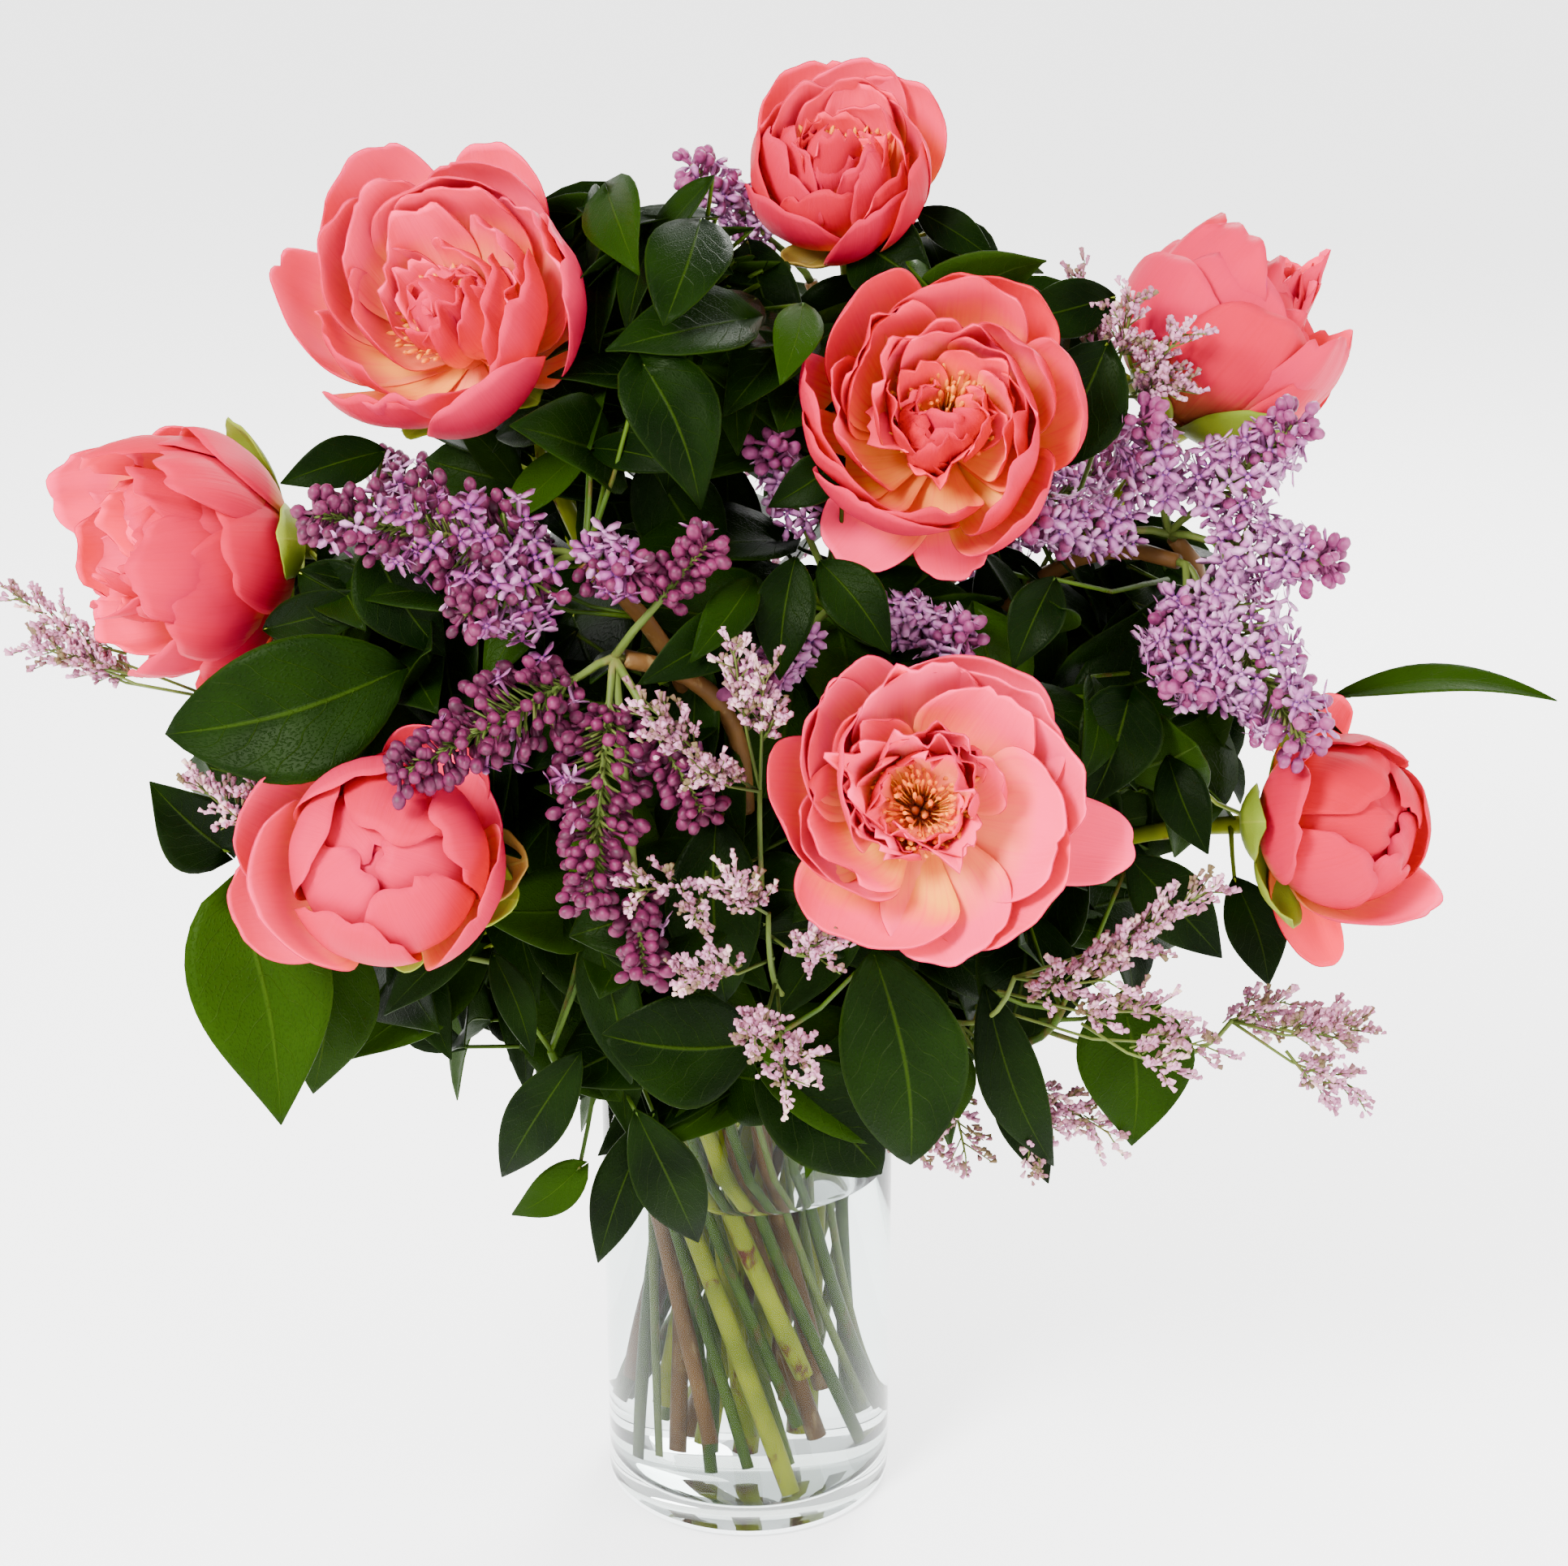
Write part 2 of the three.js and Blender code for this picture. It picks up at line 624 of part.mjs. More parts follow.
// The space round a flower's petals, for its neighbours to keep out of
function bloomEnvelope(axes, foot, bloom) {
  const margin = 3.5;
  const surfaces = petalsOf({ ...bloom, loose: [] })
    .filter((petal) => petal.ring === 0)
    .map((petal) => petalPoint(axes, foot, petal));
  const profile = [[0, 1]];
  for (const v of [0.25, 0.5, 0.75, 1]) {
    let height = 0;
    let radius = 0;
    for (const surface of surfaces) {
      for (const u of [-1, 0, 1]) {
        const local = surface(u, v).sub(foot);
        const rise = local.dot(axes.out);
        radius = Math.max(radius, local.addScaledVector(axes.out, -rise).length());
        height += rise / (3 * surfaces.length);
      }
    }
    profile.push([radius + margin, height + (v === 1 ? 2 * margin : 0)]);
  }
  profile.push([0, profile.at(-1)[1]]);
  return turned(profile, foot, axes.out, 12);
}

// The heart of a flower, which its petals grow from
const heart = { radius: 10.5, topRadius: 12.5, height: 8, sides: 5 };

function petalSolid(bloom, axes, foot) {
  const blades = petalsOf(bloom).map((petal) =>
    blade(petalPoint(axes, foot, petal), petal.ring < 2 ? petalRows : innerPetalRows, petalThickness, false));
  const { radius, topRadius, height, sides } = heart;
  return joined([turned([[0, 0], [radius, 0], [topRadius, height], [0, height]], foot, axes.out, sides), ...blades]);
}

// Stamens stand on the heart: a low button with needles round it.
function stamenSolid(bloom, axes, foot) {
  const needles = 8;
  const low = heart.height + clearance;
  const pieces = [turned([[0, low], [7, low], [5.5, low + 4], [0, low + 5]], foot, axes.out, 6)];
  const draw = seededDraws(bloom.seed + 100);
  for (let i = 0; i < needles; i++) {
    const azimuth = degrees(137.5 * i);
    const spread = degrees(draw(6, 20));
    const away = axes.right.clone().multiplyScalar(Math.cos(azimuth)).addScaledVector(axes.up, Math.sin(azimuth));
    const way = axes.out.clone().multiplyScalar(Math.cos(spread)).addScaledVector(away, Math.sin(spread));
    const root = foot.clone().addScaledVector(axes.out, low + 2).addScaledVector(away, draw(1.5, 4));
    pieces.push(spindle(root, way, draw(18, 25), 1.4, 0.8));
  }
  return joined(pieces);
}

// A peony's green parts above its stem: the calyx and its sepals
const calyxLength = 13;

function calyxPieces(bloom, axes, foot, stemRadius, extra) {
  const profile = [
    [0, -calyxLength],
    [stemRadius + 0.8 + extra, -calyxLength],
    [10.5 + extra, -clearance],
    [0, -clearance],
  ];
  const pieces = [turned(profile, foot, axes.out, 6)];
  for (let i = 0; i < 2; i++) {
    const sepal = {
      azimuth: degrees(bloom.sepals[i]),
      length: i === 1 ? 32 : 40,
      halfWidth: i === 1 ? 12 : 10,
      from: degrees(97),
      to: degrees(bloom.open ? 50 : 30),
      cup: 0.4,
      baseRadius: 7,
      low: -3.4,
      lean: 0,
    };
    const shape = extra ? fatten(sepal) : sepal;
    pieces.push(blade(petalPoint(axes, foot, shape), innerPetalRows, petalThickness + 2 * extra, false));
  }
  return pieces;
}

// Lilac: a slim rachis for each panicle, covered with florets
const rachisFoot = 5;

// How wide a panicle is along its length, as a share of its widest
const panicleWidth = (share) => (share < 0.25 ? Math.sqrt(share / 0.25) : 1 - 0.65 * (share - 0.25));

// Florets stand out as the points of a staggered net wound round the rachis, each with six low corners
// round it: one corner in three stands out.
function floretNet(foot, way, length, radius, draw) {
  const around = radius > 28 ? 12 : radius > 18 ? 9 : 6;
  const rows = Math.max(4, Math.round((length * around) / (5.8 * radius)));
  const axes = flowerAxes(way.toArray());
  const corners = [foot];
  const corner = (i, j) => 1 + (j - 1) * around + (i % around);
  for (let j = 1; j < rows; j++) {
    const share = j / rows;
    for (let i = 0; i < around; i++) {
      const azimuth = (2 * Math.PI * (i + 0.5 * (j % 2))) / around;
      const standsOut = (i - Math.floor(j / 2) + 2 * j + 3 * rows) % 3 === 0;
      const reach = radius * panicleWidth(share) * (standsOut ? draw(0.95, 1.2) : draw(0.42, 0.52));
      const away = axes.right.clone().multiplyScalar(Math.cos(azimuth)).addScaledVector(axes.up, Math.sin(azimuth));
      const along = length * share + (standsOut ? 0.12 * radius : 0);
      corners.push(foot.clone().addScaledVector(way, along).addScaledVector(away, reach));
    }
  }
  corners.push(foot.clone().addScaledVector(way, length + 0.1 * radius));
  const last = corners.length - 1;
  const triangles = [];
  for (let i = 0; i < around; i++) {
    triangles.push(0, corner(i + 1, 1), corner(i, 1));
    triangles.push(last, corner(i, rows - 1), corner(i + 1, rows - 1));
    for (let j = 1; j < rows - 1; j++) {
      const [a, b, c, d] = [corner(i, j), corner(i + 1, j), corner(i + 1, j + 1), corner(i, j + 1)];
      triangles.push(...(j % 2 ? [a, b, c, a, c, d] : [a, b, d, b, c, d]));
    }
  }
  const geometry = new THREE.BufferGeometry().setFromPoints(corners);
  geometry.setIndex(triangles);
  return solidOf(geometry);
}

function panicleSolid(lilac, owner) {
  const draw = seededDraws(lilac.seed);
  const fork = vec(lilac.fork);
  const foot = fork.clone().addScaledVector(stems[owner].lean, -rachisFoot);
  const pieces = [];
  for (const [tip, radius, bare] of lilac.panicles) {
    const end = vec(tip);
    const start = fork.clone().lerp(end, bare);
    const way = end.clone().sub(start).normalize();
    pieces.push(tube([foot, fork, start.clone().addScaledVector(way, 12)], 2.6, 4));
    pieces.push(trimmed(floretNet(start, way, start.distanceTo(end), radius, draw), owner, 0));
  }
  return joined(pieces).subtract(stems[owner].room);
}

// The space round a panicle, for its neighbours to keep out of
function panicleEnvelope(lilac, [tip, radius, bare]) {
  const margin = 2.5;
  const fork = vec(lilac.fork);
  const way = vec(tip).sub(fork);
  const length = way.length();
  const profile = [
    [0, -3],
    [3.5, -3],
    [3.5, bare * length],
    [radius + margin, (bare + 0.3 * (1 - bare)) * length],
    [0.6 * radius + margin, length + 0.3 * radius],
    [0, length + 0.6 * radius],
  ];
  return turned(profile, fork, way.normalize(), 8);
}

// Limonium: thin twigs from the head of the stem, each ending in a few small florets
function limoniumTwig(root, tip, extra) {
  const way = tip.clone().sub(root).normalize();
  const length = root.distanceTo(tip);
  const thin = 0.9 + extra;
  const wide = 3.6 + extra;
  const profile = [[0, 0], [thin, 0], [thin, length - 13], [wide, length - 6], [0, length + 2 * extra]];
  const sidewards = way.clone().addScaledVector(flowerAxes(way.toArray()).right, 0.9).normalize();
  const fork = tip.clone().addScaledVector(way, -15);
  return joined([turned(profile, root, way, 3), spindle(fork, sidewards, 11 + 2 * extra, wide, 0.6)]);
}

function limoniumPieces(spray, owner) {
  const pieces = [];
  for (const place of spray.tips) {
    const tip = vec(place);
    const root = twigRoots(stems[owner], tip).find((start) => isClear(limoniumTwig(start, tip, 0.5), owner));
    if (!root) continue;
    pieces.push(limoniumTwig(root, tip, 0));
    take(limoniumTwig(root, tip, 0.9), owner);
  }
  return pieces;
}

// Leaves: how wide each form is along its length, as a share of its widest
const leafForms = {
  heart: (v) => Math.sin(Math.PI * v ** 0.62),
  broad: (v) => Math.sin(Math.PI * v ** 0.85) ** 0.8,
  lance: (v) => Math.sin(Math.PI * v ** 0.8),
};

// A leaf's middle surface: a narrow stalk from its root to the base of the blade, then the arched blade
const stalkHalf = 1.2;

function leafPoint(leaf) {
  const { root, base, tip, halfWidth, form, facing } = leaf;
  const way = tip.clone().sub(base);
  const length = way.length();
  way.normalize();
  const stalk = base.clone().sub(root);
  const stalkShare = stalkShareOf(leaf);
  const normal = facing.clone().addScaledVector(way, -facing.dot(way)).normalize();
  const side = new THREE.Vector3().crossVectors(way, normal);
  const stalkSide = stalk.clone().normalize().add(way).cross(normal).normalize();
  return (u, v) => {
    if (v <= stalkShare) {
      const share = v / stalkShare;
      return root.clone().addScaledVector(stalk, share).addScaledVector(stalkSide, u * stalkHalf * share);
    }
    const share = (v - stalkShare) / (1 - stalkShare);
    const half = stalkHalf + (halfWidth - stalkHalf) * leafForms[form](Math.min(share, 1));
    const arch = 0.3 * length * share * (1 - share);
    return base.clone()
      .addScaledVector(way, length * share)
      .addScaledVector(side, u * half)
      .addScaledVector(normal, arch + 0.22 * Math.abs(u) * (half - stalkHalf));
  };
}

function stalkShareOf({ root, base, tip }) {
  const stalk = root.distanceTo(base);
  return stalk / (stalk + base.distanceTo(tip));
}

function leafBlade(leaf, thickness) {
  const stalkShare = stalkShareOf(leaf);
  const rows = leaf.rows.map((share) => stalkShare + share * (1 - stalkShare));
  rows.unshift(0);
  return blade(leafPoint(leaf), rows, thickness, true);
}

function leafRoom(leaf) {
  const way = leaf.tip.clone().sub(leaf.base).normalize();
  const tip = leaf.tip.clone().addScaledVector(way, 1.5);
  return leafBlade({ ...leaf, tip, halfWidth: leaf.halfWidth + 1 }, leafThickness + 1.2);
}

// Places along a stem, above the vase, where a twig to a given point could grow, the likeliest first
function twigRoots(stem, place) {
  const roots = [];
  for (let i = 1; i < stem.points.length - 1; i++) {
    for (const share of [0.1, 0.4, 0.7, 0.98]) {
      roots.push(stem.points[i].clone().lerp(stem.points[i + 1], share));
    }
  }
  const cost = (root) => root.distanceTo(place) + Math.max(0, root.z - place.z + 15);
  return roots.sort((a, b) => cost(a) - cost(b));
}

const straightTwig = (root, end, radius) => tube([root, end], radius, 3);

const clearRoot = (owner, place, radius) =>
  twigRoots(stems[owner], place).find((root) => isClear(straightTwig(root, place, radius), owner));

// A leaf, trimmed where a neighbour is in its way, or nothing where there is no room
function leafPiece(place, owner, leastShare) {
  const root = clearRoot(owner, place.base, 2);
  if (!root) return null;
  const leaf = { ...place, root };
  const rest = trimmed(leafBlade(leaf, leafThickness), owner, leastShare);
  if (rest) take(leafRoom(leaf), owner);
  return rest;
}

// Every stem with its route
const stems = {};
for (const [name, [ring, slot, radius, cut]] of Object.entries(slots)) {
  const stem = { ring, slot, radius, cut, bends: name in blooms ? 4 : 3, pieces: [] };
  if (name in blooms) {
    const { centre, axis, depth } = blooms[name];
    stem.lean = flowerAxes(axis).out;
    stem.head = vec(centre).addScaledVector(stem.lean, -depth - calyxLength + 1);
  } else {
    const head = vec(lilacs[name]?.fork ?? limoniums[name]?.head ?? leafyHeads[name]);
    const onward = lilacs[name] ? vec(lilacs[name].panicles[0][0]) : head.clone().multiplyScalar(1.3);
    stem.lean = onward.sub(head).normalize().add(new THREE.Vector3(0, 0, 0.6)).normalize();
    stem.head = head.addScaledVector(stem.lean, lilacs[name] ? -rachisFoot - clearance : 0);
  }
  stem.points = stemPoints(stem);
  stem.sides = name in blooms ? 5 : name in limoniums ? 3 : 4;
  stem.pieces.push(tube(stem.points, radius, stem.sides));
  stems[name] = stem;
  const end = stem.head.clone().addScaledVector(stem.lean, 1.5 * clearance);
  stem.room = tube([...stem.points.slice(0, -1), end], (radius + clearance) / Math.cos(Math.PI / 6), 6);
  take(stem.room, name);
}

const group = new THREE.Group();

function addNode(name, solid, colour) {
  const mesh = new THREE.Mesh(largestBody(solid), new THREE.MeshStandardMaterial(colours[colour]));
  mesh.name = name;
  group.add(mesh);
}

addNode('vase', vaseSolid(), 'glass');
const besideVase = [
  [0, -1], [vase.radius + 1, -1], [vase.radius + 1, vase.height + 1], [0, vase.height + 1],
];
take(turned(besideVase, origin, vertical, vase.sides), 'vase');

addNode('water', waterSolid(), 'water');

for (const [name, bloom] of Object.entries(blooms)) {
  const axes = flowerAxes(bloom.axis);
  const foot = vec(bloom.centre).addScaledVector(axes.out, -bloom.depth);
  let petals = petalSolid(bloom, axes, foot);
  for (const stem of Object.values(stems)) petals = petals.subtract(stem.room);
  addNode(name + '_petals', petals, 'petal');
  if (bloom.open) addNode(name + '_stamens', stamenSolid(bloom, axes, foot), 'stamen');
  const petalRooms = petalsOf(bloom).filter((petal) => petal.ring < 1).map((petal) =>
    blade(petalPoint(axes, foot, fatten(petal)), petalRows, petalThickness + 1, false));
  let calyx = joined(calyxPieces(bloom, axes, foot, stems[name].radius, 0));
  for (const room of petalRooms) calyx = calyx.subtract(room);
  stems[name].pieces.push(calyx);
  take(bloomEnvelope(axes, foot, bloom), name);
  petalRooms.slice(0, bloom.loose.length).forEach((room) => take(room, name));
  take(joined(calyxPieces(bloom, axes, foot, stems[name].radius, 0.5)), name);
}

for (const [name, lilac] of Object.entries(lilacs)) {
  addNode(name + '_florets', panicleSolid(lilac, name), lilac.colour);
  for (const panicle of lilac.panicles) take(panicleEnvelope(lilac, panicle), name + '_florets');
}

for (const [name, spray] of Object.entries(limoniums)) {
  stems[name].pieces.push(...limoniumPieces(spray, name));
}

for (const [owner, base, tip, halfWidth, form, facing] of leaves) {
  const rows = halfWidth > 16 ? [0, 0.36, 0.7, 1] : [0, 0.5, 1];
  const leaf = { base: vec(base), tip: vec(tip), halfWidth, form, facing: vec(facing), rows };
  const piece = leafPiece(leaf, owner, 0.6);
  if (piece) stems[owner].pieces.push(piece);
}

for (const [owner, [count, length, halfWidth, form]] of Object.entries(fillLeaves)) {
  const draw = seededDraws(count * 97 + owner.length);
  for (let i = 0; i < count; i++) {
    const { points } = stems[owner];
    const place = 2 + ((points.length - 3) * (i + 0.7)) / count;
    const root = new Route(points).getPoint(Math.min(place / (points.length - 1), 1));
    const away = root.clone().sub(bunchHeart).setZ(0).normalize();
    const turn = degrees(137.5 * i);
    const swing = Math.sin(turn) * 0.8 + draw(-0.2, 0.2);
    const sideways = new THREE.Vector3(-away.y, away.x, 0);
    const way = away.addScaledVector(sideways, swing).setZ(draw(-0.35, 0.5)).normalize();
    const base = root.clone().addScaledVector(way, draw(14, 26));
    const size = draw(0.85, 1.15);
    const tip = base.clone().addScaledVector(way, length * size);
    const facing = tip.clone().sub(bunchHeart).normalize().add(new THREE.Vector3(0, 0, 0.5));
    const leaf = { base, tip, halfWidth: halfWidth * size, form, facing, rows: [0.3, 0.66, 1] };
    const piece = leafPiece(leaf, owner, 0.75);
    if (piece) stems[owner].pieces.push(piece);
  }
}

const stemColours = { peony: 'peonyGreen', lilac: 'lilacGreen', leafy: 'leafGreen', limonium: 'limonium' };
for (const [name, stem] of Object.entries(stems)) {
  const kind = name.split('_')[0];
  const ending = kind === 'lilac' ? '_branch' : '_stem';
  addNode(name + ending, joined(stem.pieces), stemColours[kind]);
}

export default group;
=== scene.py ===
# A bunch of coral peonies with lilac, limonium and mixed leaves, in a glass cylinder vase.
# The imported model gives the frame. Flower shapes are worked out in millimetres and made in metres.
import functools
import math
import bpy
import numpy as np
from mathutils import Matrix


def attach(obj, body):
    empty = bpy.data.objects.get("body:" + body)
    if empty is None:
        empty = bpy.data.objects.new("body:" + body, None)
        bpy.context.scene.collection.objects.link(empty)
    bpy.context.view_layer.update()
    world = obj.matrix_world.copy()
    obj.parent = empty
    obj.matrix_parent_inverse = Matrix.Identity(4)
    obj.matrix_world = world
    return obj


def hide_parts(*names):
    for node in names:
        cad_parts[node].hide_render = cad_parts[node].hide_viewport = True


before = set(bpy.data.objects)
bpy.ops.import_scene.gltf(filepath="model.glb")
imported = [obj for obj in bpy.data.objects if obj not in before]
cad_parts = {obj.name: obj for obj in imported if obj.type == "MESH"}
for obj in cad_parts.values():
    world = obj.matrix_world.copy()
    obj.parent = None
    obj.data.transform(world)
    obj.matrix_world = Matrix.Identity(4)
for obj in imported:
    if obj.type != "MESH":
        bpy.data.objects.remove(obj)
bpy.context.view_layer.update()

MM = 0.001
golden_turn = 137.5


# Seeded draws, the same as in the part's source
class Draws:
    def __init__(self, seed):
        self.state = seed

    def __call__(self, low, high):
        self.state = self.state * 48271 % 2147483647
        return low + (high - low) * self.state / 2147483647


def vec(*values):
    return np.array(values, float)


def unit(v):
    return v / np.linalg.norm(v)


def flower_axes(axis):
    out = unit(np.asarray(axis, float))
    up = vec(0, 0, 1) - out * out[2]
    up = unit(up) if np.linalg.norm(up) > 1e-6 else vec(0, 1, 0)
    return out, up, np.cross(up, out)


def spun_round(axes, azimuth):
    _, up, right = axes
    return right * math.cos(azimuth) + up * math.sin(azimuth)


def deselect():
    bpy.ops.object.select_all(action="DESELECT")


# Materials
def operator(operation, reflected=False):
    """How a sum, difference or product of signals adds its Math node"""
    def add_node(self, other):
        return self.maths(operation, *((other, self) if reflected else (self, other)))
    return add_node


class Signal:
    """A value in a material. Sums and products of signals add Math nodes."""

    def __init__(self, finish, socket):
        self.finish = finish
        self.socket = socket

    def maths(self, operation, *values):
        return self.finish.value("ShaderNodeMath", {"operation": operation}, dict(enumerate(values)))

    __add__ = operator("ADD")
    __radd__ = operator("ADD", True)
    __sub__ = operator("SUBTRACT")
    __rsub__ = operator("SUBTRACT", True)
    __mul__ = operator("MULTIPLY")
    __rmul__ = operator("MULTIPLY", True)

    def size(self):
        return self.maths("ABSOLUTE", self)

    def sine(self):
        return self.maths("SINE", self)

    def at_least(self, least):
        return self.maths("MAXIMUM", self, least)

    def between(self, low, high):
        sockets = {"Value": self, "From Min": low, "From Max": high}
        return self.finish.value("ShaderNodeMapRange", {"interpolation_type": "SMOOTHSTEP"}, sockets)


def opaque(colour):
    return colour if isinstance(colour, Signal) else (*colour, 1)


class Finish:
    """A material being made: its nodes and its one shader."""

    def __init__(self, name, **shader):
        self.material = bpy.data.materials.new(name)
        self.material.use_nodes = True
        self.tree = self.material.node_tree
        self.shader = self.tree.nodes["Principled BSDF"]
        for socket, value in shader.items():
            self.shader.inputs[socket.replace("_", " ")].default_value = value

    def node(self, kind, settings=None, sockets=None):
        node = self.tree.nodes.new(kind)
        for setting, value in (settings or {}).items():
            if setting == "stops":
                elements = node.color_ramp.elements
                while len(elements) < len(value):
                    elements.new(0.5)
                for element, (place, colour) in zip(elements, value):
                    element.position = place
                    element.color = opaque(colour)
            else:
                setattr(node, setting, value)
        for socket, value in (sockets or {}).items():
            if isinstance(value, Signal):
                self.tree.links.new(value.socket, node.inputs[socket])
            else:
                node.inputs[socket].default_value = value
        return node

    def value(self, kind, settings=None, sockets=None, output=0):
        return Signal(self, self.node(kind, settings, sockets).outputs[output])

    def place(self):
        return self.value("ShaderNodeTexCoord", output="Object")

    def sheet(self):
        """Across and along a petal or leaf, each from 0 to 1"""
        uv = self.value("ShaderNodeUVMap", {"uv_map": "sheet"})
        parts = self.node("ShaderNodeSeparateXYZ", sockets={0: uv})
        return uv, Signal(self, parts.outputs[0]), Signal(self, parts.outputs[1])

    def tone(self):
        return self.value("ShaderNodeAttribute", {"attribute_name": "tone"}, output="Fac")

    def noise(self, where, scale, detail=2, roughness=0.5):
        sockets = {"Vector": where, "Scale": scale, "Detail": detail, "Roughness": roughness}
        return self.value("ShaderNodeTexNoise", None, sockets)

    def stretched(self, where, across, along, deep=1):
        return self.value("ShaderNodeMapping", None, {"Vector": where, "Scale": (across, along, deep)})

    def mix(self, share, first, second):
        sockets = {0: share, 6: opaque(first), 7: opaque(second)}
        return self.value("ShaderNodeMix", {"data_type": "RGBA"}, sockets, output=2)

    def ramp(self, place, *stops):
        return self.value("ShaderNodeValToRGB", {"stops": stops}, {0: place})

    def feed(self, socket, signal):
        self.tree.links.new(signal.socket, self.shader.inputs[socket])

    def bump(self, height, strength, distance):
        sockets = {"Height": height, "Strength": strength, "Distance": distance}
        self.feed("Normal", self.value("ShaderNodeBump", None, sockets))


def petal_finish(name, base, low, body, rim_pink, deep):
    f = Finish(
        name, Subsurface_Weight=0.15, Subsurface_Scale=0.004, Subsurface_Radius=(1.0, 0.25, 0.2),
        Specular_IOR_Level=0.07, Specular_Tint=(0.8, 0.35, 0.42, 1))
    uv, _, along = f.sheet()
    tone = f.tone()
    streak = f.noise(f.stretched(uv, 34, 1.3), 1.0, 2)
    cloud = f.noise(f.place(), 34, 1)
    grown = along + (cloud - 0.5) * 0.26 + (streak - 0.5) * 0.12
    colour = f.ramp(grown, (0.0, base), (0.3, base), (0.47, low), (0.64, body), (1.0, body))
    colour = f.mix(streak.between(0.46, 0.74) * 0.3, colour, deep)
    rim = along.between(0.84, 1.0).at_least(0.5)
    colour = f.mix(rim * (0.1 + 0.4 * cloud), colour, rim_pink)
    colour = f.mix(tone.between(0.5, 1.0) * 0.4, colour, rim_pink)
    colour = f.mix((1 - tone.between(0.0, 0.5)) * 0.6, colour, deep)
    f.feed("Base Color", colour)
    f.feed("Roughness", 0.44 + 0.14 * cloud)
    f.bump(streak * 0.5 + f.noise(f.place(), 120, 1) * 0.5, 0.3, 0.0014)
    return f.material


def stamen_finish():
    f = Finish("stamen", Roughness=0.6)
    grain = f.noise(f.place(), 700, 3)
    f.feed("Base Color", f.ramp(
        f.tone() + (grain - 0.5) * 0.3,
        (0.0, (0.09, 0.03, 0.012)), (0.22, (0.55, 0.12, 0.004)), (0.6, (0.85, 0.22, 0.002)),
        (1.0, (0.95, 0.4, 0.012))))
    f.bump(grain, 0.4, 0.0006)
    return f.material


def leaf_finish(name, dark, light, sunlit, vein, roughness, relief):
    f = Finish(name, Specular_IOR_Level=0.05, Specular_Tint=(0.6, 0.7, 0.45, 1))
    uv, across, along = f.sheet()
    side = (across - 0.5).size() * 2
    tone = f.tone()
    cloud = f.noise(f.place(), 30, 1)
    wander = f.noise(uv, 5, 0)
    colour = f.mix(cloud.between(0.3, 0.75) * 0.5 + tone.between(0.1, 0.7) * 0.5, dark, light)
    colour = f.mix(tone.between(0.72, 1.0) * (0.55 + 0.6 * cloud), colour, sunlit)
    midrib = 1 - side.between(0.012, 0.05)
    slant = ((along * 8 - side * 2.6 + wander * 0.8) * math.pi).sine().size()
    branch = (1 - slant.between(0.0, 0.13)) * (1 - side.between(0.7, 1.0))
    fine = f.noise(f.stretched(uv, 60, 60), 1.0, 1).between(0.5, 0.7)
    colour = f.mix(branch * 0.14, colour, vein)
    colour = f.mix(midrib * 0.3, colour, vein)
    colour = f.mix(fine * 0.15, colour, dark)
    colour = f.mix(side.between(0.93, 1.0) * 0.12, colour, vein)
    f.feed("Base Color", colour)
    f.feed("Roughness", roughness - 0.1 + cloud * 0.2)
    f.bump(0.6 * midrib + 0.4 * branch + fine * 0.2 + cloud * 0.5, relief, 0.0015)
    return f.material


def stem_finish(name, low, high, scar, scars):
    f = Finish(name, Specular_IOR_Level=0.12)
    place = f.place()
    long_grain = f.noise(f.stretched(place, 300, 300, 22), 1.0, 3)
    cloud = f.noise(place, 26, 3)
    colour = f.mix(cloud.between(0.3, 0.7) * 0.6 + f.tone() * 0.4, low, high)
    mark = f.noise(f.stretched(place, 60, 60, 28), 1.0, 4, 0.7).between(0.56, 0.66)
    f.feed("Base Color", f.mix(mark * scars, colour, scar))
    f.bump(long_grain + mark * 0.6, 0.45, 0.0008)
    return f.material


def lilac_finish(name, throat, lobe, edge, bud_dark, bud_light):
    f = Finish(name, Specular_IOR_Level=0.25)
    _, _, along = f.sheet()
    tone = f.tone()
    grain = f.noise(f.place(), 300, 1)
    petal = f.ramp(along, (0.0, throat), (0.12, throat), (0.3, lobe), (0.75, lobe), (1.0, edge))
    petal = f.mix(tone.between(0.7, 1.0) * 0.6, petal, edge)
    bud = f.mix(grain.between(0.35, 0.7) * 0.5 + tone * 2, bud_dark, bud_light)
    colour = f.mix(1 - tone.between(0.3, 0.5), petal, bud)
    f.feed("Base Color", f.mix(grain.between(0.45, 0.75) * 0.18, colour, bud_light))
    f.bump(grain, 0.3, 0.0006)
    return f.material


def limonium_finish():
    f = Finish("limonium floret", Roughness=0.7, Specular_IOR_Level=0.2)
    grain = f.noise(f.place(), 400, 2)
    f.feed("Base Color", f.ramp(
        f.tone() + (grain - 0.5) * 0.35,
        (0.0, (0.13, 0.09, 0.04)), (0.25, (0.28, 0.1, 0.15)), (0.5, (0.48, 0.2, 0.33)),
        (0.75, (0.62, 0.32, 0.4)), (1.0, (0.72, 0.52, 0.38))))
    f.bump(grain, 0.5, 0.0006)
    return f.material


def clear_finish(name, tint, ior, waves, relief):
    f = Finish(
        name, Roughness=0.0, IOR=ior, Transmission_Weight=1.0, Base_Color=(*tint, 1),
        Specular_Tint=(0.07, 0.07, 0.07, 1))
    f.bump(f.noise(f.stretched(f.place(), waves, waves, 5), 1.0, 1), relief, 0.002)
    return f.material


